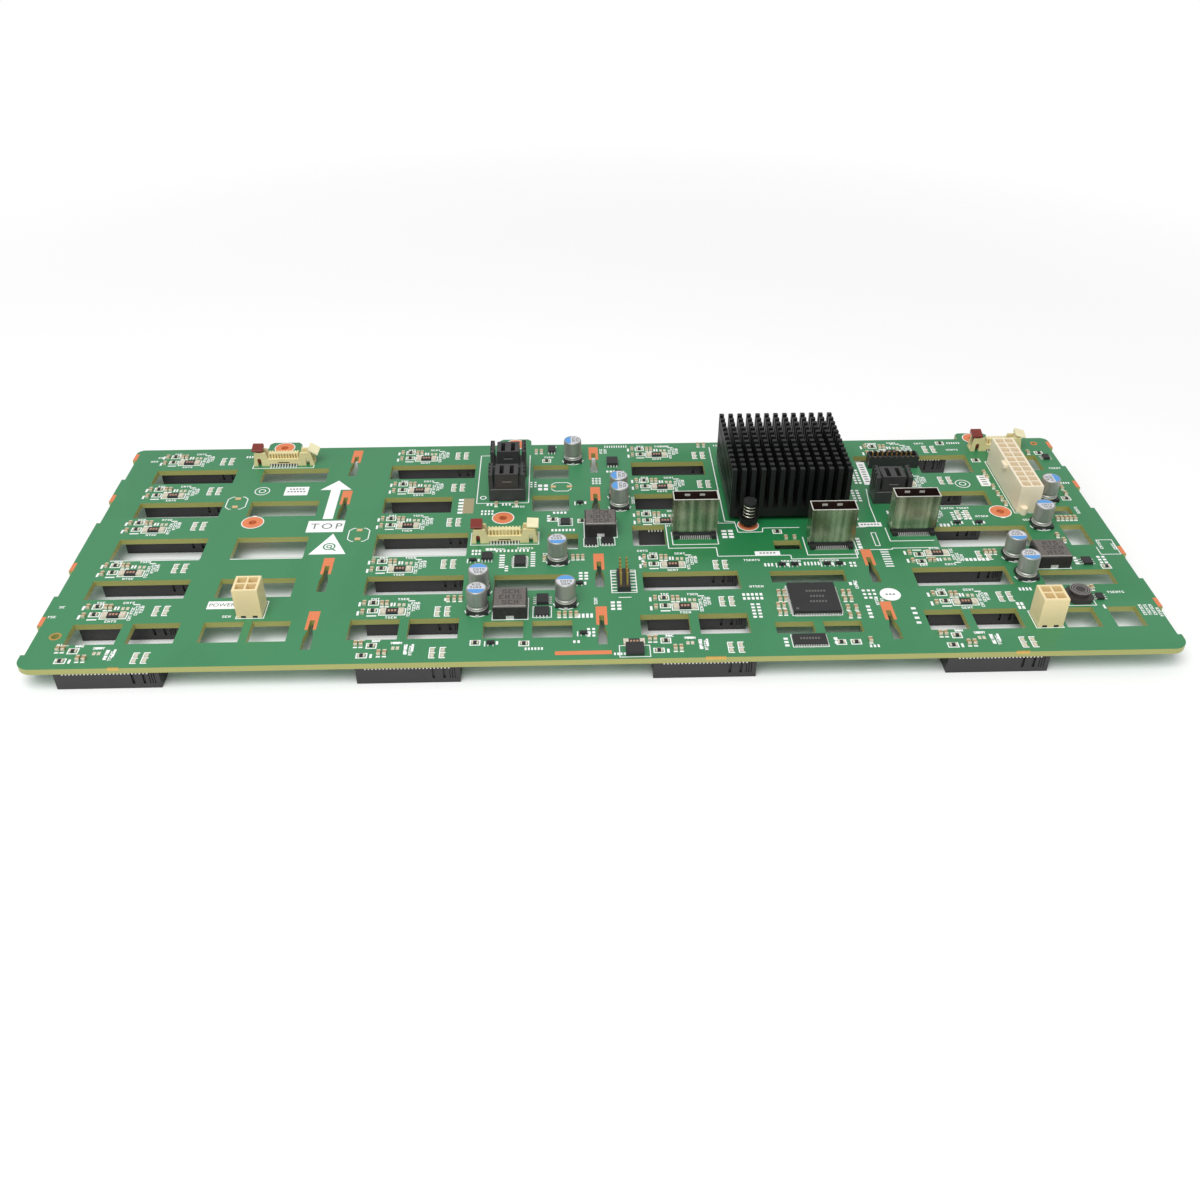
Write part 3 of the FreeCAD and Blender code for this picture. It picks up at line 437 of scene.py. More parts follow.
def feed(tree, socket, value):
    """Links a value that another node gives, or sets a constant on the socket."""
    if isinstance(value, bpy.types.NodeSocket):
        tree.links.new(value, socket)
    else:
        socket.default_value = value


def node(tree, kind, inputs=(), **settings):
    made = tree.nodes.new(kind)
    for key, value in settings.items():
        setattr(made, key, value)
    for name, value in dict(inputs).items():
        feed(tree, made.inputs[name], value)
    return made


def blank_finish(name, **values):
    """A new material and its shader, with plain values for the inputs of these names."""
    material = bpy.data.materials.new(name)
    material.use_nodes = True
    shader = material.node_tree.nodes["Principled BSDF"]
    for key, value in values.items():
        shader.inputs[key.replace("_", " ").title().replace("Ior", "IOR")].default_value = value
    return material, material.node_tree, shader


def shade(colour, factor):
    return tuple(min(1.0, c * factor) for c in colour[:3]) + (1.0,)


def grain(tree, scale, detail=3.0, stretch=(1.0, 1.0, 1.0)):
    """Noise from 0 to 1 over the object."""
    mapping = node(tree, "ShaderNodeMapping", {"Vector": on_object(tree), "Scale": stretch})
    noise = node(tree, "ShaderNodeTexNoise", {"Vector": mapping.outputs["Vector"], "Scale": scale,
                                              "Detail": detail})
    return noise.outputs["Fac"]


def between(tree, factor, low, high):
    """A colour between two others. A Mix node's inputs 6 and 7 and its output 2 are its colours."""
    return node(tree, "ShaderNodeMix", {"Factor": factor, 6: low, 7: high}, data_type="RGBA").outputs[2]


def spread(tree, factor, low, high, out_low=0.0, out_high=1.0):
    """Maps low to high onto another span, and holds what lies outside at its ends."""
    return node(tree, "ShaderNodeMapRange", {"Value": factor, "From Min": low, "From Max": high,
                                             "To Min": out_low, "To Max": out_high}).outputs["Result"]


def sums(tree, operation, a, b):
    return node(tree, "ShaderNodeMath", {0: a, 1: b}, operation=operation).outputs[0]


def on_object(tree):
    """The point's place on its own object, in metres."""
    return node(tree, "ShaderNodeTexCoord").outputs["Object"]


def split(tree, vector):
    return node(tree, "ShaderNodeSeparateXYZ", {"Vector": vector}).outputs


def facing(tree):
    """Which way the surface faces."""
    return split(tree, node(tree, "ShaderNodeNewGeometry").outputs["Normal"])


def paint(tree, shader, colour):
    feed(tree, shader.inputs["Base Color"], colour)


def roughen(tree, shader, height, strength, distance):
    bump = node(tree, "ShaderNodeBump", {"Height": height, "Strength": strength, "Distance": distance})
    feed(tree, shader.inputs["Normal"], bump.outputs["Normal"])


def moulded(name, colour, roughness=0.42, mottle=0.08, texture=2600.0):
    """Moulded plastic with a fine grain and slightly uneven colour."""
    material, tree, shader = blank_finish(name, roughness=roughness)
    patches = spread(tree, grain(tree, 140.0), 0.3, 0.7)
    paint(tree, shader, between(tree, patches, shade(colour, 1 - mottle), shade(colour, 1 + mottle)))
    roughen(tree, shader, grain(tree, texture), 0.25, 0.00004)
    return material


def sheet_metal(name, colour, roughness, stretch=(1.0, 1.0, 0.04), metallic=1.0):
    """Drawn or rolled metal with streaks along one axis."""
    material, tree, shader = blank_finish(name, metallic=metallic)
    streaks = grain(tree, 1800.0, 4.0, stretch)
    paint(tree, shader, between(tree, streaks, shade(colour, 0.86), shade(colour, 1.1)))
    feed(tree, shader.inputs["Roughness"], spread(tree, streaks, 0.3, 0.7, roughness * 0.8, roughness * 1.3))
    return material


def box_mask(tree, x, y, x0, x1, y0, y1, soft):
    """1 inside the rectangle, fading to 0 over the soft distance, in metres of the object."""
    sides = []
    for value, low, high in ((x, x0, x1), (y, y0, y1)):
        rising = spread(tree, value, low - soft, low + soft)
        falling = spread(tree, value, high - soft, high + soft, 1.0, 0.0)
        sides.append(sums(tree, "MULTIPLY", rising, falling))
    return sums(tree, "MULTIPLY", sides[0], sides[1])


def lacquered_board(name, settings):
    """Green lacquer with copper tracks showing through it, and bare laminate at the cut edges."""
    material, tree, shader = blank_finish(name, roughness=0.42, coat_weight=0.12, coat_roughness=0.25)
    place = on_object(tree)
    x, y = split(tree, place)[:2]
    flat = sums(tree, "GREATER_THAN", sums(tree, "ABSOLUTE", facing(tree)["Z"], 0.0), 0.5)

    # Solid copper lies under the parts on the right of the middle
    middle = box_mask(tree, x, y, *COPPER_MIDDLE)
    corner = box_mask(tree, x, y, *COPPER_CORNER)
    copper = sums(tree, "MAXIMUM", middle, sums(tree, "MULTIPLY", corner, 0.5))
    patches = spread(tree, grain(tree, 22.0, 2.0), 0.35, 0.65)
    copper = sums(tree, "MULTIPLY", copper, spread(tree, patches, 0.0, 1.0, 0.45, 1.0))
    green = between(tree, copper, shade(settings.lacquer, 1.0), shade(settings.plane_lacquer, 1.0))

    # Fine tracks run in bundles along the board and across it
    tracks = []
    for axis, stretch in (("X", (1.0, 0.25, 1.0)), ("Y", (0.25, 1.0, 1.0))):
        wave = node(tree, "ShaderNodeTexWave", {"Vector": place, "Scale": 300.0, "Distortion": 0.0},
                    bands_direction=axis)
        bundle = spread(tree, grain(tree, 30.0, 1.0, stretch), 0.56, 0.6)
        tracks.append(sums(tree, "MULTIPLY", spread(tree, wave.outputs["Fac"], 0.45, 0.6), bundle))
    track = sums(tree, "MAXIMUM", tracks[0], tracks[1])
    green = between(tree, sums(tree, "MULTIPLY", track, 0.22), green, shade(settings.plane_lacquer, 0.75))

    # The cut edge shows the layers of glass cloth
    layers = node(tree, "ShaderNodeTexWave", {"Vector": place, "Scale": 1700.0, "Distortion": 1.5},
                  bands_direction="Z")
    layers = spread(tree, layers.outputs["Fac"], 0.2, 0.8)
    edge = between(tree, layers, shade(settings.cut_edge, 0.84), shade(settings.cut_edge, 1.1))
    paint(tree, shader, between(tree, flat, edge, green))
    roughen(tree, shader, sums(tree, "MULTIPLY", track, flat), 0.3, 0.00003)
    return material


def fins_finish(name, colour):
    """Black anodising, with a painted highlight that lightens the tips of the pins."""
    material, tree, shader = blank_finish(name, metallic=0.4, roughness=0.4)
    # The pins' tips are painted lighter, a painted highlight
    tips = spread(tree, split(tree, on_object(tree))["Z"], *FIN_TIPS)
    base = between(tree, grain(tree, 500.0), shade(colour, 0.8), shade(colour, 1.3))
    paint(tree, shader, between(tree, tips, base, shade(colour, 1.4)))
    roughen(tree, shader, grain(tree, 2200.0), 0.2, 0.00004)
    return material


def cells_finish(name, outside, inside, top):
    """Ivory plastic whose cells are painted warmer and lighter below the mouth, a painted glow. Heights in
    metres.
    """
    material, tree, shader = blank_finish(name, roughness=0.38, subsurface_weight=0.2,
                                          subsurface_radius=(1.0, 0.8, 0.5), subsurface_scale=0.006)
    # Below each cell's mouth the colour turns toward the inside colour, a painted glow
    depth = spread(tree, split(tree, on_object(tree))["Z"], top - CELL_DEPTH, top - CELL_LIP, 0.86, 1.0)
    tones = spread(tree, grain(tree, 160.0), 0.3, 0.7, 0.0, 0.35)
    body = between(tree, tones, shade(outside, 1.0), shade(inside, 1.0))
    paint(tree, shader, between(tree, depth, shade(inside, 1.0), body))
    roughen(tree, shader, grain(tree, 2400.0), 0.15, 0.00003)
    return material


def soft_metal(name, colour):
    """Solder and dull plating, which look much the same from all sides."""
    material, tree, shader = blank_finish(name, metallic=0.35, roughness=0.4)
    blotches = spread(tree, grain(tree, 1100.0, 2.0), 0.35, 0.65)
    paint(tree, shader, between(tree, blotches, shade(colour, 0.82), shade(colour, 1.08)))
    roughen(tree, shader, grain(tree, 2600.0), 0.2, 0.00003)
    return material


def plated_steel(name, colour, shade_boxes):
    """Bright folded steel with soft bands that run up it, partly streaks in the plating and partly painted
    sheen, and painted shade inside the cage, dark and less metallic.
    """
    material, tree, shader = blank_finish(name, roughness=0.26)
    bands = grain(tree, 520.0, 1.0, (1.0, 1.0, 0.02))
    outside = between(tree, spread(tree, bands, 0.3, 0.7), shade(colour, 0.5), shade(colour, 1.12))
    x, y = split(tree, on_object(tree))[:2]
    inside_shade = 0.0
    for edges in shade_boxes:
        inside_shade = sums(tree, "MAXIMUM", inside_shade, box_mask(tree, x, y, *edges, 0.00003))
    # Inside the cage the metal is painted dark brown, a painted shade
    paint(tree, shader, between(tree, inside_shade, outside, shade(tint("3d2c26"), 1.0)))
    polish = spread(tree, bands, 0.45, 0.8, 1.0, 0.72)
    polish = sums(tree, "SUBTRACT", polish, sums(tree, "MULTIPLY", inside_shade, 0.6))
    feed(tree, shader.inputs["Metallic"], polish)
    return material


def pressed_iron(name, top, side):
    """Pressed powder, with painted light making its top pale and painted shade making its sides dark."""
    material, tree, shader = blank_finish(name, roughness=0.5)
    # Faces that point up are painted pale as lit, and the sides dark as shaded
    lit_from_above = spread(tree, facing(tree)["Z"], 0.6, 0.95)
    speckle = spread(tree, grain(tree, 900.0, 4.0), 0.35, 0.65)
    pale = between(tree, speckle, shade(top, 0.85), shade(top, 1.12))
    dark = between(tree, speckle, shade(side, 0.8), shade(side, 1.3))
    paint(tree, shader, between(tree, lit_from_above, dark, pale))
    roughen(tree, shader, grain(tree, 1400.0), 0.35, 0.00006)
    return material


def fading_floor(name, colour):
    """A pale floor that gives way to the white backdrop well clear of the board."""
    material, tree, shader = blank_finish(name, roughness=0.9, specular_ior_level=0.0)
    paint(tree, shader, shade(colour, 1.0))
    away = node(tree, "ShaderNodeVectorMath", {0: on_object(tree)}, operation="LENGTH")
    gone = spread(tree, away.outputs["Value"], *FLOOR_FADE)
    clear = node(tree, "ShaderNodeBsdfTransparent")
    mixed = node(tree, "ShaderNodeMixShader", {0: gone, 1: shader.outputs["BSDF"], 2: clear.outputs["BSDF"]})
    feed(tree, tree.nodes["Material Output"].inputs["Surface"], mixed.outputs["Shader"])
    return material


def ink_finish(name, colour, roughness=0.55):
    """Screen print or paint with a slightly patchy coat."""
    material, tree, shader = blank_finish(name, roughness=roughness)
    paint(tree, shader, between(tree, grain(tree, 900.0), shade(colour, 0.93), shade(colour, 1.04)))
    return material


# Repeated parts

def new_tree(name, shape=False, **sizes):
    """Starts a tree that takes places, named sizes, a finish and perhaps a shape, and gives solids."""
    tree = bpy.data.node_groups.new(name, "GeometryNodeTree")
    kinds = {"Places": "Geometry", "Finish": "Material"}
    kinds.update({label: "Float" for label in sizes})
    if shape:
        kinds["Shape"] = "Object"
    for label, kind in kinds.items():
        socket = tree.interface.new_socket(label, in_out="INPUT", socket_type="NodeSocket" + kind)
        if label in sizes:
            socket.default_value = sizes[label]
    tree.interface.new_socket("Solids", in_out="OUTPUT", socket_type="NodeSocketGeometry")
    return tree, node(tree, "NodeGroupInput").outputs


def end_tree(tree, given, points, solid, sized=False):
    """Puts the solid on every point, then makes it real and gives it its finish."""
    turn = node(tree, "GeometryNodeInputNamedAttribute", {"Name": "turn"}, data_type="FLOAT")
    turn = vector(tree, 0.0, 0.0, turn.outputs["Attribute"])
    inputs = {"Points": points, "Instance": solid, "Rotation": turn}
    if sized:
        size = node(tree, "GeometryNodeInputNamedAttribute", {"Name": "size"}, data_type="FLOAT_VECTOR")
        inputs["Scale"] = size.outputs["Attribute"]
    placed = node(tree, "GeometryNodeInstanceOnPoints", inputs)
    real = node(tree, "GeometryNodeRealizeInstances", {"Geometry": placed.outputs["Instances"]})
    finished = node(tree, "GeometryNodeSetMaterial", {"Geometry": real.outputs["Geometry"],
                                                      "Material": given["Finish"]})
    node(tree, "NodeGroupOutput", {"Solids": finished.outputs["Geometry"]})
    return tree


def vector(tree, x, y, z):
    return node(tree, "ShaderNodeCombineXYZ", {"X": x, "Y": y, "Z": z}).outputs["Vector"]


def cube(tree, size, middle):
    solid = node(tree, "GeometryNodeMeshCube", {"Size": size}).outputs["Mesh"]
    return node(tree, "GeometryNodeTransform", {"Geometry": solid, "Translation": middle}).outputs[0]


def join(tree, solids):
    joined = node(tree, "GeometryNodeJoinGeometry")
    for solid in solids:
        feed(tree, joined.inputs["Geometry"], solid)
    return joined.outputs["Geometry"]


def halved(tree, value):
    return sums(tree, "MULTIPLY", value, 0.5)


def block_tree():
    """A block standing on each place, as large as the place's size says."""
    tree, given = new_tree("Blocks")
    return end_tree(tree, given, given["Places"], cube(tree, (1, 1, 1), (0, 0, 0.5)), sized=True)


def end_cap_tree():
    """The two end caps of a small component."""
    tree, given = new_tree("End caps", Share=0.24)
    share = given["Share"]
    offset = sums(tree, "SUBTRACT", 0.5, halved(tree, share))
    caps = [cube(tree, vector(tree, share, 1.0, 1.0), vector(tree, side, 0.0, 0.5))
            for side in (offset, sums(tree, "MULTIPLY", offset, -1.0))]
    return end_tree(tree, given, given["Places"], join(tree, caps), sized=True)


def row_points(tree, given):
    """Points along each edge of the places, a pitch apart."""
    curve = node(tree, "GeometryNodeMeshToCurve", {"Mesh": given["Places"]}).outputs["Curve"]
    stepped = node(tree, "GeometryNodeResampleCurve", {"Curve": curve, "Length": given["Pitch"]},
                   mode="LENGTH").outputs["Curve"]
    return node(tree, "GeometryNodeCurveToPoints", {"Curve": stepped}, mode="EVALUATED").outputs[0]


def lead_tree():
    """A row of bent leads: an upright riser against the part and a foot out to the front."""
    tree, given = new_tree("Leads", Pitch=CONTACT_PITCH, Width=0.0004, Thickness=0.00025, Reach=0.0015,
                           Rise=0.001)
    width, thick, reach, rise = (given[key] for key in ("Width", "Thickness", "Reach", "Rise"))
    solids = []
    for deep, tall in ((reach, thick), (thick, rise)):
        outward = sums(tree, "MULTIPLY", deep, -0.5)
        middle = vector(tree, 0.0, outward, halved(tree, tall))
        solids.append(cube(tree, vector(tree, width, deep, tall), middle))
    return end_tree(tree, given, row_points(tree, given), join(tree, solids))


def blade_tree():
    """A row of plain blades, as large as the named sizes say."""
    tree, given = new_tree("Blades", Pitch=CONTACT_PITCH, Width=0.0004, Depth=0.0004, Height=0.001)
    size = vector(tree, given["Width"], given["Depth"], given["Height"])
    blade = cube(tree, size, vector(tree, 0.0, 0.0, halved(tree, given["Height"])))
    return end_tree(tree, given, row_points(tree, given), blade)


def spring_tree():
    """A coil of round wire standing on each place."""
    tree, given = new_tree("Springs", Radius=0.002, Wire=0.0003, Height=0.007, Turns=5.0)
    coil = node(tree, "GeometryNodeCurveSpiral", {
        "Resolution": 20, "Rotations": given["Turns"], "Start Radius": given["Radius"],
        "End Radius": given["Radius"], "Height": given["Height"]}).outputs["Curve"]
    wire = node(tree, "GeometryNodeCurvePrimitiveCircle", {"Resolution": 8, "Radius": given["Wire"]})
    wire = wire.outputs["Curve"]
    solid = node(tree, "GeometryNodeCurveToMesh", {"Curve": coil, "Profile Curve": wire, "Fill Caps": True})
    return end_tree(tree, given, given["Places"], solid.outputs["Mesh"])


def copy_tree():
    """A copy of a modelled shape on each place."""
    tree, given = new_tree("Copies", shape=True)
    shape = node(tree, "GeometryNodeObjectInfo", {"Object": given["Shape"]})
    return end_tree(tree, given, given["Places"], shape.outputs["Geometry"])


TREES = {}


def tree_for(maker):
    if maker not in TREES:
        TREES[maker] = maker()
    return TREES[maker]


def places(points, edges=()):
    """A mesh of places. Each point is x, y, z, turn in degrees and, where it has one, a size."""
    data = bpy.data.meshes.new("Places")
    data.from_pydata([(p[0] * MM, (p[1] + MIDDLE_Y) * MM, p[2] * MM) for p in points], edges, [])
    turns = data.attributes.new("turn", "FLOAT", "POINT")
    sizes = data.attributes.new("size", "FLOAT_VECTOR", "POINT")
    for i, p in enumerate(points):
        turns.data[i].value = math.radians(p[3])
        sizes.data[i].vector = [v * MM for v in p[4]] if len(p) > 4 else (1, 1, 1)
    return data


def rows(ends):
    """Rows of places: each is x0, y0, x1, y1, z and the turn of what stands on it."""
    points = []
    for x0, y0, x1, y1, z, turn in ends:
        points += [(x0, y0, z, turn), (x1, y1, z, turn)]
    return places(points, [(2 * i, 2 * i + 1) for i in range(len(ends))])


def grow(name, maker, where, finish, slot=None, **values):
    """Runs a tree over the places and keeps the result as one plain piece."""
    holder = put(name + "_places", where)
    modifier = holder.modifiers.new("Repeat", "NODES")
    modifier.node_group = tree_for(maker)
    values["finish"] = finish
    for item in modifier.node_group.interface.items_tree:
        key = item.name.lower()
        if item.in_out == "INPUT" and key in values:
            modifier[item.identifier] = values[key]
    return keep(name, baked(holder))


def blocks(name, where, finish):
    """Plain blocks, each given by x, y, z, turn and size."""
    return grow(name, block_tree, places(where), finish)


def copies(name, shape, where, finish, slot=None):
    """Copies of a modelled shape at the places. The shape is made about its own middle."""
    pattern = put(name + "_shape", shape.to_mesh(name + "_shape", placed=False))
    piece = grow(name, copy_tree, where, finish, slot, shape=pattern)
    bpy.data.objects.remove(pattern)
    return piece


def lead_row(x, y, length, half, turn):
    """A row of leads on one side of a chip: the side at the front, turned about the chip's middle."""
    start = about(x, y, -length / 2, -half, turn)
    return start + about(x, y, length / 2, -half, turn) + (TOP, turn)


def rounded_lever(name):
    """The lever with its edges eased, as moulded parts have them."""
    data = bpy.data.meshes.new(name + "_rounded")
    mesh = bmesh.new()
    mesh.from_mesh(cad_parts[name].data)
    bmesh.ops.remove_doubles(mesh, verts=mesh.verts[:], dist=WELD)
    bmesh.ops.dissolve_limit(mesh, angle_limit=0.02, verts=mesh.verts[:], edges=mesh.edges[:])
    sharp = [e for e in mesh.edges if len(e.link_faces) == 2 and e.calc_face_angle() > SHARP]
    edges = [e for e in sharp if e.calc_length() > LONG_EDGE]
    bmesh.ops.bevel(mesh, geom=edges, offset=EASED, segments=3, affect="EDGES", profile=0.5,
                    clamp_overlap=True)
    bmesh.ops.remove_doubles(mesh, verts=mesh.verts[:], dist=WELD)
    bmesh.ops.recalc_face_normals(mesh, faces=mesh.faces[:])
    mesh.to_mesh(data)
    mesh.free()
    return data


FINISHES = {}


def finish_of(name, maker, *values):
    """Makes each finish once."""
    if name not in FINISHES:
        FINISHES[name] = maker(name, *values)
    return FINISHES[name]


def painted(name, code):
    return finish_of(name, ink_finish, tint(code))


def plated(name, code):
    return finish_of(name, soft_metal, tint(code))


def tinned():
    return finish_of("tinned_metal", soft_metal, bpy.context.scene.backplane_parts.tinned)


def gold():
    colour = bpy.context.scene.backplane_parts.gold
    return finish_of("gold_plate", sheet_metal, colour, 0.3, (1.0, 1.0, 0.04), 0.7)


def black_plastic():
    return finish_of("black_plastic", moulded, bpy.context.scene.backplane_parts.black, 0.4)


# Near-white plating for painted highlights on rims
def bright_rim():
    return plated("bright_rim", "efeee6")


def ink():
    return finish_of("white_ink", ink_finish, bpy.context.scene.backplane_board.ink)


def grey_ink():
    return painted("grey_ink", "6f7a70")


class BACKPLANE_OT_board(bpy.types.Operator):
    """Finish the board and lay its bare copper round the slots and screw holes"""
    bl_idname = "backplane.board"
    bl_label = "Board and copper"

    def execute(self, context):
        settings = context.scene.backplane_board
        wear("circuit_board", finish_of("green_lacquer", lacquered_board, settings))
        copper = finish_of("bare_copper", sheet_metal, settings.copper, 0.5, (1.0, 1.0, 1.0), 0.25)
        high = TOP + settings.pad_height / MM
        low = UNDERSIDE - settings.pad_height / MM
        pads = Shape()
        for x in SLOT_XS:
            for top in SLOT_TOPS:
                near, neck = top - PAD_L, top - PAD_NECK_FROM
                left = [(x - PAD_HALF_W, near), (x - PAD_NECK_HALF_W, near), (x - PAD_NECK_HALF_W, neck)]
                right = [(x + PAD_NECK_HALF_W, neck), (x + PAD_NECK_HALF_W, near), (x + PAD_HALF_W, near)]
                far = [(x + PAD_HALF_W, top), (x - PAD_HALF_W, top)]
                pads.prism(left + right + far, TOP, high)
        for side in SIDES:
            for top in SLOT_TOPS:
                edge = side * BOARD_W / 2
                xs = sorted((edge + side * 0.02, edge - side * 1.7))
                pads.block(xs[0], xs[1], top - 6.4, top - 0.6, TOP - 0.9, high)
        for x, y in TAB_SCREWS + FIELD_SCREWS:
            pads.ring(x, y, 1.72, SCREW_PAD_R, TOP, high)
            pads.ring(x, y, 1.72, SCREW_PAD_R, low, UNDERSIDE)
            pads.ring(x, y, 1.62, 1.69, low, high)
        pads.ring(207.3, 75.1, 1.02, 1.6, TOP, high)
        for x, y in PUSH_PINS:
            pads.ring(x, y, 1.7, PIN_PAD_R, TOP, high)
        pads.block(-19.6, 1.3, -77.6, -75.4, TOP, high)
        pads.settle("copper_pads", copper)
        strips = Shape()
        strips.ring(-205.9, -61.2, 1.52, 2.3, TOP, high)
        for x0, x1 in ((-181.0, -177.0), (35.5, 43.0), (150.0, 155.0)):
            strips.block(x0, x1, -BOARD_D / 2 - 0.06, -BOARD_D / 2 + 0.5, TOP - 1.1, high)
        strips.settle("edge_strips", gold())
        return {"FINISHED"}


# How far the parts about a socket stand from their usual places, by row and column
CLUSTER_MOVES = {
    (1, 1): (1.8, -0.5), (2, 1): (1.8, -1.0), (3, 1): (0.7, 0.0), (4, 1): (0.2, -0.4), (5, 1): (1.7, 0.2),
    (1, 2): (1.5, 0.3), (2, 2): (0.9, 0.4), (3, 2): (-1.3, 0.3), (4, 2): (-1.3, -0.6), (5, 2): (-1.3, -0.4),
    (1, 3): (-0.6, 0.9), (2, 3): (-0.1, 0.6), (3, 3): (-0.8, 0.9), (4, 3): (-0.2, -0.5), (5, 3): (2.3, -0.4),
    (1, 4): (0.3, 0.0), (4, 4): (0.0, 0.8), (5, 4): (2.3, -0.5),
}
FLIPPED_CLUSTERS = ((4, 4),)
LADDER_MOVES = {(1, 1): (0.0, -2.2), (1, 3): (0.0, -2.6), (4, 3): (0.3, -3.6), (5, 2): (0.0, -3.4)}

# Length, width, height and turn of the small parts, and the two sides of a pad
CAPACITOR_SIZE = (2.4, 1.4, 1.0, 90)
RESISTOR_SIZE = (2.6, 1.6, 0.6, 0)
SHUNT_SIZE = (9.0, 3.2, 0.8, 0)
PAD_SIZE = (1.2, 1.9)
EDGE_SHUNT = (9.8, -71.0, 8.0, 3.2, 0.8, 0)
# Small parts and pads about a drive socket: along, across. The FRONT lists are for the row at the near edge
CLUSTER_CAPACITORS = ((-18.5, 3.5), (-18.5, -2.2), (-11.6, 3.2), (-9.7, 3.2))
CLUSTER_RESISTORS = ((-15.0, 3.9), (-14.8, -1.2))
CLUSTER_SHUNTS = ((-7.2, -2.0),)
CLUSTER_PADS = ((-5.0, 2.4), (-3.2, 2.4))
FRONT_CAPACITORS = ((-19.8, 6.7), (-17.8, 6.7), (-10.7, 0.9), (-8.5, 0.9))
FRONT_RESISTORS = ((-13.9, 5.4), (-16.8, -0.3))
FRONT_PADS = ((-5.8, 3.8), (-4.1, 3.8))

# White marks about a drive socket: along, across, width, depth
CLUSTER_MARKS = (
    (-20.3, 3.2, 0.9, 2.6), (-20.3, -2.6, 0.9, 2.6), (-14.9, -4.4, 3.8, 0.7), (-8.0, 2.7, 0.8, 2.2),
    (-6.8, 2.7, 0.7, 2.2), (-0.4, 4.9, 2.6, 0.6), (-11.6, 1.3, 1.6, 0.7), (-9.7, 1.3, 1.6, 0.7),
)
CLUSTER_FRAMES = ((-15.0, 3.9, 4.2, 3.4), (-14.8, -1.2, 4.2, 3.0), (-7.2, -2.1, 10.4, 4.4))
FRONT_MARKS = (
    (-18.8, 8.6, 2.8, 0.5), (-19.8, 4.6, 1.5, 0.7), (-17.8, 4.6, 1.5, 0.7), (-10.7, -1.1, 1.5, 0.7),
    (-8.5, -1.1, 1.5, 0.7), (-5.0, 7.0, 2.8, 1.0), (-1.2, 4.6, 1.2, 2.2), (-1.0, 1.2, 1.2, 2.4),
    (-13.4, -0.6, 0.9, 2.2), (1.4, 3.8, 0.9, 4.4), (-12.6, 8.2, 2.4, 0.6),
)
FRONT_FRAMES = ((-13.9, 5.4, 4.0, 3.4), (-16.8, -0.3, 4.2, 3.0))
# Short words about a drive socket: along, across, letters, turn
CLUSTER_WORDS = (
    (-7.4, -5.6, 4, 0), (-1.0, 0.9, 4, 90), (0.8, 0.2, 4, 90), (2.4, 1.4, 4, 90), (-3.7, 6.1, 4, 0),
    (-0.9, -3.6, 3, 90), (1.2, 3.4, 3, 0), (-14.6, 6.4, 3, 0),
)
FRONT_WORDS = (
    (-1.1, 3.1, 5, 90), (0.8, 2.2, 5, 90), (-4.9, 6.8, 4, 0), (-12.4, 8.3, 3, 0), (-18.8, 9.2, 4, 0),
)
# Short words elsewhere
LOOSE_WORDS = (
    (-204.6, 69.6, 3, 0), (-202.6, 73.0, 2, 0), (-209.5, -42.8, 2, 0), (-211.4, -49.0, 3, 0),
    (-144.9, -50.6, 3, 0), (-35.6, 25.5, 5, 0), (-22.6, 68.4, 4, 0), (-44.4, -7.6, 7, 0),
    (-32.0, -7.2, 6, 0), (-22.5, -11.6, 4, 0), (14.6, 29.4, 5, 90), (18.8, 44.6, 4, 0), (60.5, -18.4, 6, 0),
    (76.4, -19.6, 7, 0), (92.0, -19.6, 7, 0), (107.0, -12.6, 6, 90), (151.0, 18.8, 5, 0),
    (157.6, 18.8, 5, 0), (164.0, 12.0, 5, 0), (183.0, 8.6, 4, 0), (206.8, 15.6, 5, 90), (209.4, 51.8, 5, 0),
    (206.6, -11.0, 6, 90), (212.0, -12.8, 4, 90), (208.4, -56.4, 6, 90), (210.4, -56.4, 6, 90),
    (206.4, -56.4, 6, 90), (212.4, -58.0, 5, 90), (200.4, -44.6, 6, 0), (60.0, -36.8, 5, 0),
    (99.6, -36.6, 5, 90), (105.4, -48.2, 4, 90), (107.6, -48.2, 4, 90), (5.6, 12.0, 4, 90),
    (16.4, -10.4, 4, 0), (-3.8, -44.6, 4, 90), (166.8, 70.2, 5, 0), (152.6, 76.6, 4, 0),
    (139.6, 77.4, 4, 0), (129.8, 77.0, 5, 0), (57.6, 77.4, 5, 0), (30.6, 77.4, 6, 0), (-20.6, 78.0, 3, 0),
    (1.8, 73.4, 4, 90), (3.8, 73.4, 4, 90),
)


def around_sockets(back_list, front_list):
    """Places of a list of parts about every drive socket, with the front row's own list."""
    found = []
    for row, y in enumerate(ROW_YS, 1):
        for column, x in enumerate(COLUMN_XS, 1):
            dx, dy = CLUSTER_MOVES.get((row, column), (0.0, 0.0))
            way = -1 if (row, column) in FLIPPED_CLUSTERS else 1
            for part in front_list if row == len(ROW_YS) else back_list:
                found.append((x + part[0] + dx, y + way * part[1] + dy) + tuple(part[2:]))
    return found


def ladder_places():
    """Middles of the two blocks of test pads beside every drive socket."""
    found = []
    for row, y in enumerate(ROW_YS, 1):
        for column, x in enumerate(COLUMN_XS, 1):
            dx, dy = LADDER_MOVES.get((row, column), (0.0, 0.0))
            start = 8.9 if column == 2 else 9.9
            found += [(x + start + dx, y + 0.7 + dy), (x + start + 3.8 + dx, y + 0.7 + dy)]
    return found


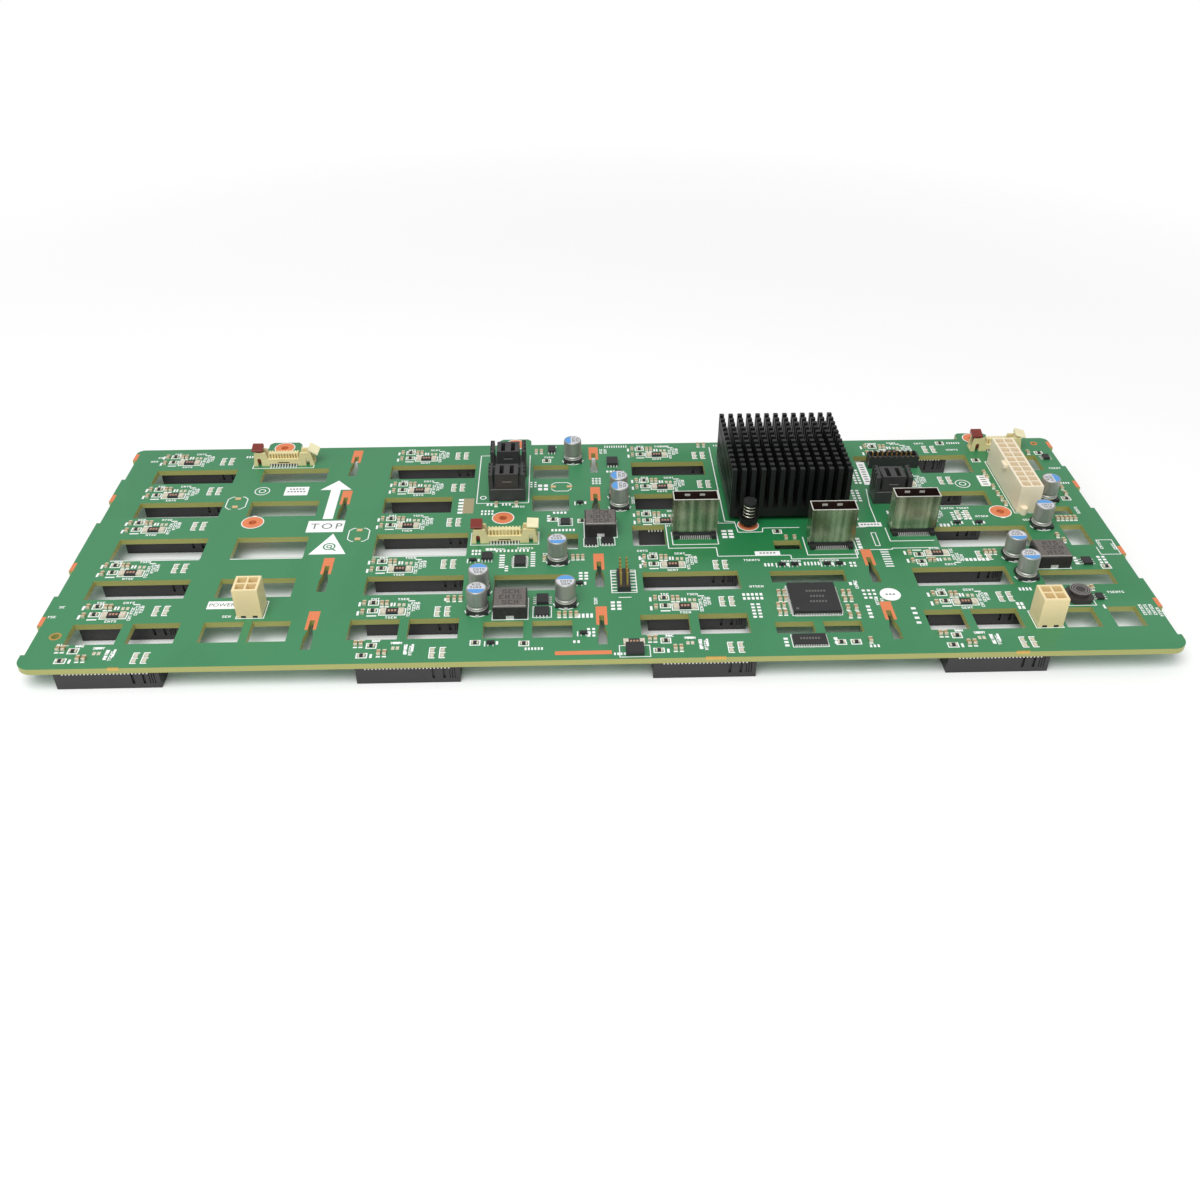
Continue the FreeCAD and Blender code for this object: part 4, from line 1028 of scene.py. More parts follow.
# Small capacitors away from the sockets
LOOSE_CAPACITORS = (
    (-28.4, 73.6), (-26.0, 73.6), (-23.9, -15.1), (-12.3, -14.6), (-10.3, -14.6), (-8.3, -14.6),
    (-61.1, -41.8), (-58.7, -41.8), (-56.3, -41.8), (-18.0, -53.2), (-15.8, -53.2), (-13.6, -53.2),
    (-11.4, -53.2), (-45.3, 27.4), (-36.5, 27.4), (47.8, 77.9), (50.4, 77.9), (77.0, -2.6), (80.6, -2.6),
    (157.3, -15.6), (159.2, -15.6), (161.1, -15.6), (195.8, 9.1), (197.7, 9.1), (199.6, 9.1), (201.5, 9.1),
    (203.4, 9.1), (191.2, -4.0), (192.8, -7.8), (93.2, -42.1), (95.6, -42.1), (93.2, -46.2), (95.6, -46.2),
    (93.2, -52.0), (96.4, -52.0), (93.2, -56.7), (96.4, -56.7), (68.0, -41.3), (70.2, -41.3), (68.0, -45.4),
    (70.2, -45.4), (66.6, -54.3), (68.8, -54.3), (66.6, -49.8), (68.8, -49.8), (97.7, -72.2),
    (192.1, -41.6), (190.4, -42.0), (201.6, 66.4), (175.6, 48.5), (175.8, 44.6), (176.0, 36.0),
    (176.4, 30.4), (176.8, 25.9), (177.2, 21.8), (206.4, 34.2), (206.4, 29.2), (109.2, 49.9), (109.2, 45.3),
)
# Small framed resistors away from the sockets
LOOSE_RESISTORS = (
    (-23.5, 65.1), (74.1, 2.4), (86.6, -73.0), (92.2, -73.0), (205.4, 25.4), (175.2, 59.9), (-20.4, 14.6),
    (-8.0, 13.2), (99.2, 1.8), (103.4, 1.8), (162.6, 76.5), (206.6, 66.0), (203.4, -27.0), (108.4, 12.2),
    (-49.2, -69.5), (-31.1, -70.4),
)
# Transistors away from the sockets
TRANSISTORS = (
    (9.1, 53.5), (-8.7, 27.5), (-9.9, -33.1), (-8.9, -65.2), (-43.4, -70.2), (72.3, -22.4), (77.4, -22.4),
    (90.6, -22.4), (95.6, -22.4), (151.8, 6.8), (161.2, 6.8), (-53.0, -15.8),
)
# Blocks of short white marks: middle x and y, columns, rows, spacing each way, width and depth of a mark
MARK_BLOCKS = (
    (8.8, 77.7, 10, 1, 1.1, 1.0, 0.5, 1.9), (-1.0, 46.3, 3, 4, 1.5, 1.5, 1.0, 0.8),
    (-25.0, 41.4, 2, 2, 2.6, 3.0, 1.8, 2.0), (-60.7, 26.5, 1, 5, 1.0, 2.6, 2.2, 1.5),
    (-41.2, -16.4, 1, 6, 1.0, 1.7, 2.2, 0.9), (-28.6, -15.2, 1, 7, 1.0, 1.6, 1.9, 0.8),
    (-39.2, -21.6, 1, 3, 1.0, 1.5, 1.4, 0.8), (-8.0, -54.0, 4, 1, 1.6, 1.0, 1.0, 2.6),
    (4.0, -47.9, 2, 3, 2.4, 2.1, 1.6, 1.3), (-8.2, -27.6, 2, 3, 2.2, 2.0, 1.5, 1.2),
    (53.0, 1.2, 2, 3, 2.8, 2.3, 2.1, 1.5), (106.8, -7.2, 1, 4, 1.0, 2.1, 1.7, 1.4),
    (116.0, -18.4, 1, 8, 1.0, 1.7, 3.4, 0.7), (165.6, -41.6, 4, 1, 1.4, 1.0, 0.8, 2.0),
    (160.4, -52.4, 2, 2, 1.6, 2.4, 1.1, 1.9), (192.6, -22.6, 1, 3, 1.0, 2.0, 1.7, 1.3),
    (203.6, -22.2, 2, 3, 2.0, 2.0, 1.3, 1.2), (198.4, -54.0, 10, 1, 1.3, 1.0, 0.8, 2.4),
    (118.4, -57.5, 1, 4, 1.0, 3.0, 1.8, 1.3), (116.6, 46.8, 2, 6, 1.9, 2.2, 1.2, 1.4),
    (113.4, 30.4, 2, 5, 2.2, 2.1, 1.4, 1.2), (-16.2, 6.2, 7, 1, 1.5, 1.0, 0.9, 1.7),
    (-29.3, 44.0, 2, 3, 1.8, 1.8, 1.0, 1.0), (-37.2, -8.8, 9, 1, 1.6, 1.0, 0.8, 1.7),
    (-52.0, -9.6, 3, 2, 1.4, 2.2, 0.9, 1.5), (-27.4, -73.6, 6, 1, 1.2, 1.0, 0.7, 1.5),
    (4.2, -77.5, 4, 1, 1.2, 1.0, 0.7, 1.4), (169.0, 76.6, 6, 1, 1.1, 1.0, 0.6, 1.6),
    (208.9, 38.6, 5, 1, 1.1, 1.0, 0.6, 1.4), (57.6, -43.4, 5, 2, 1.7, 2.6, 1.1, 1.6),
    (57.9, -52.6, 2, 5, 2.2, 2.0, 1.4, 1.1), (103.6, -43.2, 3, 3, 2.0, 2.4, 1.2, 1.2),
    (101.2, -54.6, 1, 4, 1.0, 2.2, 1.6, 1.3), (-46.0, -7.6, 3, 1, 1.5, 1.0, 0.9, 1.8),
    (152.8, 12.6, 2, 4, 2.0, 1.7, 1.4, 0.9), (157.6, 12.6, 2, 4, 2.0, 1.7, 1.4, 0.9),
    (146.2, 5.4, 3, 1, 1.6, 1.0, 1.0, 2.2), (84.6, -21.6, 5, 1, 1.4, 1.0, 0.7, 2.4),
    (67.0, -22.0, 3, 1, 1.4, 1.0, 0.8, 2.2), (101.2, -22.6, 2, 2, 1.6, 2.0, 1.0, 1.3),
    (-17.6, 20.0, 4, 1, 1.6, 1.0, 1.0, 1.6), (-22.4, 15.6, 1, 3, 1.0, 1.9, 1.3, 1.2),
    (16.2, -18.0, 1, 3, 1.0, 1.9, 1.2, 1.2), (137.0, -15.4, 4, 1, 1.6, 1.0, 0.9, 2.0),
    (152.6, -20.6, 6, 1, 1.7, 1.0, 1.2, 2.0), (98.4, -36.0, 2, 1, 1.8, 1.0, 1.1, 2.0),
    (-62.2, -42.0, 1, 1, 1.0, 1.0, 0.9, 1.9), (-48.2, 27.4, 2, 1, 1.6, 1.0, 0.9, 1.7),
    (-40.9, 27.4, 3, 1, 1.5, 1.0, 0.8, 1.7), (-48.9, 21.0, 4, 2, 1.5, 2.2, 0.8, 1.5),
    (6.6, 54.6, 4, 1, 1.6, 1.0, 1.0, 1.6), (-161.4, 72.6, 3, 1, 1.2, 1.0, 0.7, 1.7),
    (112.4, 69.6, 2, 1, 1.4, 1.0, 0.8, 1.6), (-6.0, -64.4, 2, 3, 1.9, 2.0, 1.1, 1.2),
    (-11.6, -69.9, 2, 1, 1.6, 1.0, 0.9, 1.5), (98.6, -75.6, 3, 1, 1.4, 1.0, 0.8, 1.5),
    (66.3, -72.4, 1, 3, 1.0, 2.0, 1.6, 1.2), (84.9, -72.0, 1, 2, 1.0, 2.4, 1.4, 1.4),
    (173.0, 11.2, 1, 2, 1.0, 1.2, 1.9, 0.5),
)
# Outlines printed about parts: left, right, near, far
PART_OUTLINES = (
    (-54.8, -26.2, -4.4, 5.2), (-158.2, -130.2, 61.8, 70.0), (2.6, 12.8, -39.6, -24.0),
    (71.2, 90.6, -56.5, -36.7), (-43.7, -29.7, -55.9, -41.9), (-7.5, 6.7, -0.2, 13.4),
    (174.9, 189.0, -28.3, -14.5), (-1.0, 5.5, -6.0, -0.4), (-7.8, -1.6, -6.8, -0.4),
    (178.9, 190.1, 13.9, 58.9), (-141.3, -130.4, -52.2, -41.0), (161.8, 172.6, -66.8, -55.7),
    (113.3, 115.5, -9.6, 0.6), (204.4, 213.0, -18.6, -7.6), (-28.2, -20.8, -54.8, -47.6),
    (-18.4, -12.0, 9.4, 15.4), (179.2, 190.0, -53.2, -42.0), (68.3, 81.9, -75.6, -68.0),
    (4.0, 15.6, -79.6, -72.6), (-36.8, -30.8, -21.2, -13.0),
)
# Lines printed on the board, each through its corners
PRINTED_LINES = (
    ((-48.5, 70.6), (-53.9, 70.6), (-53.9, 28.6), (-31.2, 28.6), (-31.2, 70.6)),
    ((52.9, 76.0), (52.9, 11.2), (57.0, 10.6), (57.6, 2.4), (67.9, 2.4), (68.4, 5.4), (84.0, 5.4)),
    ((27.4, 9.3), (27.4, -8.9), (47.1, -8.9), (47.1, -15.3), (77.0, -15.3), (77.0, -18.1), (104.2, -18.1),
     (104.2, -12.2), (119.8, -12.2), (119.8, -11.4), (138.9, -11.4)),
    ((29.4, 3.4), (29.4, -6.3), (48.4, -6.3), (48.4, 9.7), (57.0, 9.7)),
    ((84.1, -2.0), (84.1, -15.4), (105.0, -15.4), (105.0, -3.0)),
    ((120.3, 4.1), (120.3, -6.1), (141.4, -6.1), (141.4, 3.4)),
    ((105.8, 5.0), (112.0, 5.0), (117.6, 7.8), (117.6, 22.2), (119.0, 36.0)),
    ((142.6, 36.4), (148.8, 31.0), (148.8, 18.8)),
    ((5.2, -42.6), (10.2, -42.6)), ((-200.6, -11.7), (-164.6, -11.7)), ((-152.2, -11.7), (-122.9, -11.7)),
    ((-94.2, -11.8), (-56.2, -11.8)), ((-22.3, -8.0), (-10.2, -8.0)),
)


def word_mesh(words, height, x, y, z, spacing=1.0):
    """A generic word, lying flat on the board, with its middle at x, y."""
    curve = bpy.data.curves.new("word", "FONT")
    curve.body = words
    curve.size = height * MM
    curve.align_x = "CENTER"
    curve.align_y = "CENTER"
    curve.space_character = spacing
    curve.extrude = 0.00001
    data = baked(put("word_curve", curve))
    for v in data.vertices:
        v.co = (v.co.x + x * MM, v.co.y + (y + MIDDLE_Y) * MM, v.co.z + (z + 0.02) * MM)
    return data


def print_signs(marks, high):
    """The arrow, the triangle, the rings round holes and the brackets round lamps."""
    marks.prism(ARROW, TOP, high)
    marks.block(*LABELS[0], TOP, high)
    marks.prism(TRIANGLE, TOP, high)
    for edges in LABELS[1:]:
        marks.block(*edges, TOP, high)
    marks.disc(*ROUND_LABEL, 4.1, TOP, high + 0.08)
    for x, y in TAB_SCREWS + FIELD_SCREWS:
        marks.ring(x, y, SCREW_PAD_R, SCREW_PAD_R + LINE_W, TOP, high)
    for x, y in PUSH_PINS:
        marks.ring(x, y, PIN_PAD_R, PIN_PAD_R + LINE_W, TOP, high)
    for x, y in RING_SIGNS:
        marks.ring(x, y, 3.0, 3.4, TOP, high)
        marks.ring(x, y, 1.2, 1.6, TOP, high)
    marks.ring(-51.2, 33.3, 1.0, 1.5, TOP, high)
    marks.block(-149.5, -147.9, 20.8, 21.2, TOP, high)
    for x, y, turn, size in LAMPS:
        marks.bracket(x, y, turn, size, TOP, high)


def print_fields(marks, high):
    """The marks, words and frames about the sockets and the parts."""
    for x, y in ladder_places():
        marks.bar(x - 1.05, y, 0.4, 6.2, TOP, high)
        for across in (-3.0, 0.0, 3.0):
            marks.bar(x, y + across, 2.2, 0.5, TOP, high)
    for x, y, count, turn in around_sockets(CLUSTER_WORDS, FRONT_WORDS) + list(LOOSE_WORDS):
        marks.word(x, y, count, turn, TOP, high)
    for x, y, w, d in around_sockets(CLUSTER_MARKS, FRONT_MARKS):
        marks.bar(x, y, w, d, TOP, high)
    frames = around_sockets(CLUSTER_FRAMES, FRONT_FRAMES)
    frames += [(x, y, 4.0, 3.2) for x, y in LOOSE_RESISTORS]
    for x, y, w, d in frames:
        marks.frame_line(x - w / 2, x + w / 2, y - d / 2, y + d / 2, FRAME_W, TOP, high)
    for x0, x1, y0, y1 in PART_OUTLINES:
        marks.frame_line(x0, x1, y0, y1, OUTLINE_W, TOP, high)
    for x, y in LOOSE_CAPACITORS:
        marks.bar(x, y - 1.7, 1.5, 0.6, TOP, high)
    for x, y in TRANSISTORS:
        marks.bar(x - 2.2, y, 0.5, 3.0, TOP, high)
        marks.bar(x + 2.3, y + 0.4, 0.9, 2.0, TOP, high)
    for x, y, columns, lines, along, across, w, d in MARK_BLOCKS:
        for u in spaced(x, columns, along):
            for v in spaced(y, lines, across):
                marks.bar(u, v, w, d, TOP, high)
    for corners in PRINTED_LINES:
        marks.lines(corners, LINE_W, TOP, high)
    for side in SIDES:
        for k in range(7):
            marks.bar(PIN_HEADER_X + side * 3.8, -25.4 - 2.1 * k, 2.1, 0.6, TOP, high)
    for x, y, turn in CAPACITORS:
        for k in range(9):
            way = 200 + 17.5 * k
            marks.bar(*about(x, y, 4.9, 0, way), 1.6, 0.45, TOP, high, way + 90)


def print_underside(marks, low):
    """Outlines and words about the drive sockets, on the face below."""
    for x in COLUMN_XS:
        for y in ROW_YS:
            marks.frame_line(x - 20.2, x + 20.2, y - 6.0, y + 5.2, OUTLINE_W, low, UNDERSIDE)
            marks.word(x - 17.0, y - 7.4, 4, 0, low, UNDERSIDE)


def print_labels(high):
    """What lies on the white print and on the labels."""
    green = Shape()
    green.ring(-113.1, -3.6, 2.0, 2.6, high, high + 0.03)
    green.ring(-113.1, -3.6, 0.7, 1.2, high, high + 0.03)
    green.bar(-111.4, -5.6, 3.4, 0.6, high, high + 0.03, -40)
    green.settle("triangle_mark", painted("green_ink", "3f8a5b"))
    keep("direction_word", word_mesh("TOP", 6.0, -116.7, 11.9, high, 1.3), grey_ink())
    keep("power_word", word_mesh("POWER", 2.9, -148.2, -43.2, high), grey_ink())
    lines = Shape()
    for x, y, count in LABEL_ROWS:
        for at in spaced(x, count, 1.4):
            lines.bar(at, y, 0.9, 0.8, high + 0.08, high + 0.1)
    for y in (38.6, 40.6, 42.6, 44.6):
        lines.bar(173.6, y, 2.4, 0.7, high, high + 0.03)
    for k in range(8):
        lines.bar(121.0, 42.4 + 2.1 * k, 1.9, 0.8, high, high + 0.03)
    lines.settle("label_lines", grey_ink())
    tan = Shape()
    tan.block(-60.2, -55.0, 20.6, 32.8, TOP, high)
    tan.settle("tan_label", painted("tan_paper", "a59b78"))


class BACKPLANE_OT_print(bpy.types.Operator):
    """Print the white marks on the lacquer"""
    bl_idname = "backplane.print"
    bl_label = "White print"

    def execute(self, context):
        height = context.scene.backplane_board.ink_height / MM
        marks = Shape(board_tree())
        print_signs(marks, TOP + height)
        print_fields(marks, TOP + height)
        print_underside(marks, UNDERSIDE - height)
        marks.settle("white_print", ink())
        print_labels(TOP + height)
        return {"FINISHED"}


class BACKPLANE_OT_components(bpy.types.Operator):
    """Solder the small resistors, capacitors and transistors to the board"""
    bl_idname = "backplane.components"
    bl_label = "Small components"

    def execute(self, context):
        settings = context.scene.backplane_parts
        share = settings.cap_share
        ceramic = finish_of("ceramic", moulded, settings.ceramic, 0.4)
        dark = finish_of("resistor_body", moulded, settings.resistor, 0.35)
        solder = finish_of("solder", soft_metal, settings.solder)
        ground = board_tree()
        capacitors = around_sockets(CLUSTER_CAPACITORS, FRONT_CAPACITORS) + list(LOOSE_CAPACITORS)
        capacitors = landed(ground, [place + CAPACITOR_SIZE for place in capacitors])
        resistors = around_sockets(CLUSTER_RESISTORS, FRONT_RESISTORS) + list(LOOSE_RESISTORS)
        resistors = landed(ground, [place + RESISTOR_SIZE for place in resistors])
        shunts = [place + SHUNT_SIZE for place in around_sockets(CLUSTER_SHUNTS, ())]
        shunts = landed(ground, shunts + [EDGE_SHUNT])
        kinds = (("ceramic_capacitors", capacitors, ceramic), ("resistors", resistors, dark),
                 ("shunt_resistors", shunts, dark))
        for name, parts, finish in kinds:
            bodies = [(x, y, TOP, turn, (w * (1 - 2 * share), d * 0.94, h * 0.96))
                      for x, y, w, d, h, turn in parts]
            ends = [(x, y, TOP, turn, (w, d, h)) for x, y, w, d, h, turn in parts]
            blocks(name, bodies, finish)
            grow(name + "_caps", end_cap_tree, places(ends), solder, share=share)
        ratings = [(x + along, y, TOP + h * 0.96, 0, (0.8, 1.3, 0.03)) for x, y, w, d, h, turn in shunts
                   for along in (-1.2, 0, 1.2)]
        blocks("shunt_ratings", ratings, painted("copper_ink", "b98f72"))

        pads = [place + (TOP, 0, PAD_SIZE + (0.06,)) for place in around_sockets(CLUSTER_PADS, FRONT_PADS)]
        for x, y in ladder_places():
            pads += [(x, y + across, TOP, 0, (1.4, 2.0, 0.06)) for across in (-1.5, 1.5)]
        pads = [pad for pad in pads if lands(ground, pad[0], pad[1], pad[4][0], pad[4][1], 0)]
        blocks("solder_pads", pads, solder)
        lamps = []
        for x, y, turn, _ in LAMPS:
            for side in SIDES:
                if turn:
                    lamps.append((x + side * 3.6, y, TOP, 0, (2.4, 1.5, 0.3)))
                else:
                    lamps.append((x, y - side * 3.4, TOP, 0, (2.4, 1.7, 0.3)))
        blocks("lamp_pads", lamps, painted("tan_pad", "d8b98c"))

        bodies, legs = [], []
        for x, y in TRANSISTORS:
            bodies.append((x, y, TOP + 0.15, 0, (2.9, 1.4, 1.0)))
            legs.append((x, y + 1.1, TOP, 0, (0.5, 1.0, 0.25)))
            legs += [(x + side * 0.95, y - 1.1, TOP, 0, (0.5, 1.0, 0.25)) for side in SIDES]
        blocks("transistors", bodies, dark)
        blocks("transistor_legs", legs, tinned())
        return {"FINISHED"}


class BACKPLANE_OT_drive_sockets(bpy.types.Operator):
    """Model the drive sockets with their latch notches, ribs and contacts"""
    bl_idname = "backplane.drive_sockets"
    bl_label = "Drive sockets"

    def execute(self, context):
        half, front, skin, back = 19, -4.2, -3.4, 4.2
        slot_half, slot_end, slot_depth, sill = 1.3, 16.7, 5.2, 2.0
        socket = Shape()
        socket.block(-half, half, skin, back, slot_depth, UNDERSIDE)
        socket.block(-half, half, slot_half, back, 0, slot_depth)
        socket.block(-half, half, skin, -slot_half, 0, slot_depth)
        for x0, x1 in ((-half, -slot_end), (5.65, 6.75), (slot_end, half)):
            socket.block(x0, x1, -slot_half, slot_half, 0, slot_depth)
        socket.block(-half, half, front, skin, 0, sill)
        # The front is open at a latch notch and narrow slits between these ribs
        for x0, x1 in ((-half, 8.8), (9.8, 12.8), (13.8, 15.2), (15.5, 16.1), (16.4, 17.0), (17.3, half)):
            socket.block(x0, x1, front, skin, sill, UNDERSIDE)
        where = [(x, y, 0, 0) for y in ROW_YS for x in COLUMN_XS]
        piece = copies("drive_sockets", socket, places(where), black_plastic(), "black_plastic")
        names = ["drive_socket_row%d_column%d" % (row, column) for row in range(1, len(ROW_YS) + 1)
                 for column in range(1, len(COLUMN_XS) + 1)]
        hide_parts(*names)
        inside, tails = [], []
        for y in ROW_YS:
            for x in COLUMN_XS:
                for side, turn in ((-1, 0), (1, 180)):
                    wall, tail = y + side * 1.2, y + side * 4.6
                    inside.append((x - 14.2, wall, x + 3.6, wall, 0.7, turn))
                    inside.append((x + 7.9, wall, x + 15.6, wall, 0.7, turn))
                    tails.append((x - 15.2, tail, x + 15.2, tail, 7.3, turn))
        grow("drive_socket_contacts", blade_tree, rows(inside), gold(), pitch=CONTACT_PITCH, width=0.0006,
             depth=0.0003, height=0.0044)
        grow("drive_socket_tails", blade_tree, rows(tails), tinned(), pitch=CONTACT_PITCH, width=0.0005,
             depth=0.0012, height=0.0003)
        return {"FINISHED"}


class BACKPLANE_OT_cooling(bpy.types.Operator):
    """Finish the heat sink, and wind the springs under the push pins' heads"""
    bl_idname = "backplane.cooling"
    bl_label = "Heat sink"

    def execute(self, context):
        settings = context.scene.backplane_parts
        wear("heat_sink", finish_of("black_anodising", fins_finish, settings.anodised))
        wear("push_pins", black_plastic())
        low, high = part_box("push_pin_springs")
        wire = settings.spring_wire
        where = [(x, y, (low[2] + wire) / MM, 0) for x, y in PUSH_PINS]
        steel = finish_of("spring_steel", sheet_metal, tint("cfcabc"), 0.22)
        height = high[2] - low[2] - 2 * wire
        piece = grow("springs", spring_tree, places(where), steel, "spring_steel", wire=wire, height=height,
                     radius=settings.spring_radius, turns=settings.spring_turns)
        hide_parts("push_pin_springs")
        return {"FINISHED"}


# Chips with leads on two sides: middle x and y, length of a row, half the body across it, turn
LEADED_CHIPS = (
    (6.7, 62.4, 3.9, 3.1, 0), (-21.2, 74.8, 2.7, 2.5, 0), (-47.3, -13.6, 3.9, 2.3, 0),
    (-33.8, -17.1, 5.2, 2.25, 90), (-4.7, -3.5, 3.9, 2.6, 0), (2.2, -3.1, 3.9, 2.2, 0),
    (-24.4, -43.8, 3.9, 2.3, 90), (-24.6, -51.4, 4.0, 2.6, 0), (196.6, -23.6, 3.0, 1.8, 90),
    (192.8, -47.8, 2.6, 1.4, 90), (208.3, 61.4, 2.6, 1.4, 90), (-15.2, 12.4, 2.8, 2.0, 90),
)


class BACKPLANE_OT_chips(bpy.types.Operator):
    """Finish the chips and solder their leads"""
    bl_idname = "backplane.chips"
    bl_label = "Chips"

    def execute(self, context):
        package = finish_of("chip_package", moulded, context.scene.backplane_parts.package, 0.5)
        for name in ("main_chip", "controller_chip", "logic_chips"):
            wear(name, package)
        sides = [lead_row(x, y, length, half, turn + way) for x, y, length, half, turn in LEADED_CHIPS
                 for way in (0, 180)]
        grow("chip_leads", lead_tree, rows(sides), tinned(), pitch=CONTACT_PITCH, width=0.0005,
             thickness=0.0002, reach=0.0013, rise=0.0006)
        x, y = CONTROLLER_CHIP
        flat_x, flat_y = FLAT_CHIP
        sides = [lead_row(flat_x, flat_y, 11.4, 3.05, turn) for turn in (0, 180)]
        for turn, across in ((0, 9.4), (180, 9.4), (90, 9.2), (270, 9.2)):
            sides.append(lead_row(x, y, 17.0, across, turn))
        grow("fine_leads", lead_tree, rows(sides), tinned(), pitch=0.0006, width=0.0003, thickness=0.00015,
             reach=0.0011, rise=0.0007)
        dots = Shape()
        low, high = TOP + 1.9, TOP + 1.93
        dots.disc(x - 7.6, y - 7.6, 0.6, low, high, 16)
        for k, count in enumerate((7, 5, 6)):
            for at in spaced(x + 1.2, count, LETTER_PITCH):
                dots.bar(at, y + 3.6 - 3.4 * k, 0.7, 1.2, low, high)
        for at in spaced(flat_x, 7, 1.1):
            dots.bar(at, flat_y + 0.2, 0.7, 1.2, TOP + 1.1, TOP + 1.13)
        dots.settle("chip_marks", painted("chip_ink", "6c6a66"))
        return {"FINISHED"}


class BACKPLANE_OT_ports(bpy.types.Operator):
    """Finish the port cages and inserts, and lay their rows of leads"""
    bl_idname = "backplane.ports"
    bl_label = "Ports"

    def execute(self, context):
        settings = context.scene.backplane_parts
        shaded_insides = []
        # The insides of the cages get painted shade
        for x, front in PORTS:
            edges = (x - PORT_HALF_W, x + PORT_HALF_W, front + MIDDLE_Y + 0.2, front + MIDDLE_Y + 7.0)
            shaded_insides.append([edge * MM for edge in edges])
        cage = finish_of("cage_metal", plated_steel, settings.cage, shaded_insides)
        for number in range(1, len(PORTS) + 1):
            wear("port_cage_%d" % number, cage)
            wear("port_insert_%d" % number, black_plastic())
        ends = [(x - 6.8, front, x + 6.8, front, TOP, 0) for x, front in PORTS]
        grow("port_leads", lead_tree, rows(ends), tinned(), pitch=settings.lead_pitch,
             width=settings.lead_width, thickness=0.00025, reach=0.0021, rise=0.0007)
        rim_highlights, fingers, lead_shades = Shape(), Shape(), Shape()
        for x, front in PORTS:
            # A thin black strip under each row of leads, a painted shade under the leads
            lead_shades.block(x - 7.3, x + 7.3, front - 1.35, front + 0.1, TOP + 0.01, TOP + 0.12)
            # A near-white line round the top of each cage's rim, and two pale spots by its latches, are
            # painted highlights
            outer = PORT_HALF_W + 0.2
            rim_highlights.frame_line(x - outer, x + outer, front, front + 7.2, 0.4, TOP + 18.05, TOP + 18.2)
            for side in SIDES:
                latch = x + side * 3.1
                rim_highlights.block(latch - 1.1, latch + 1.1, front + 6.55, front + 7.1, TOP + 16.0, TOP + 16.9)
            fingers.block(x - 6.4, x + 6.4, front + 2.15, front + 2.85, TOP + 15.55, TOP + 15.8)
        lead_shades.settle("port_ledges", black_plastic())
        rim_highlights.settle("port_rims", bright_rim())
        fingers.settle("port_fingers", plated("tongue_plate", "ddd2c6"))
        joints = [(x + side * PORT_HALF_W, front + 3.6, UNDERSIDE - 0.5, 0, (1.6, 2.4, 0.5))
                  for x, front in PORTS for side in SIDES]
        blocks("port_joints", joints, tinned())
        return {"FINISHED"}


class BACKPLANE_OT_upright_sockets(bpy.types.Operator):
    """Finish the tall black sockets, the low box socket and the pin header, and set their contacts"""
    bl_idname = "backplane.upright_sockets"
    bl_label = "Black sockets"

    def execute(self, context):
        # The tall sockets are given a lighter copy of the black plastic, a painted sheen
        worn = finish_of("worn_black", moulded, tint("3b3a3b"), 0.36)
        for number in range(1, len(UPRIGHT_SOCKETS) + 1):
            wear("upright_socket_%d" % number, worn)
        wear("box_socket", black_plastic())
        wear("pin_header_body", black_plastic())
        wear("pin_header_pins", gold())
        walls = [(126.3, y, 143.9, y, TOP + 1.4, turn) for y, turn in ((54.7, 0), (58.5, 180))]
        grow("box_contacts", blade_tree, rows(walls), gold(), pitch=0.0022, width=0.0007, depth=0.0003,
             height=0.0043)
        teeth = [(125.2, y, 145.0, y, TOP + 5.55, 0) for y in (54.2, 59.0)]
        grow("box_teeth", blade_tree, rows(teeth), black_plastic(), pitch=0.0022, width=0.0013, depth=0.0008,
             height=0.0006)
        bars, blades = Shape(), []
        for x, front in UPRIGHT_SOCKETS:
            # Grey bars along their front edges are painted highlights
            bars.block(x - 7.2, x + 7.2, front - 0.06, front, TOP + 5.75, TOP + 6.0)
            bars.block(x - 2.0, x + 2.0, front + 0.5, front + 0.6, TOP + 9.2, TOP + 9.5)
            for at in (x - 2.2, x + 2.2):
                blades.append((at, front + 2.2, at, front + 7.6, TOP + 4.4, 90))
        bars.settle("socket_edges", finish_of("edge_shine", moulded, tint("8d8c88"), 0.4))
        grow("socket_blades", blade_tree, rows(blades), gold(), pitch=0.0018, width=0.0008, depth=0.0003,
             height=0.005)
        return {"FINISHED"}


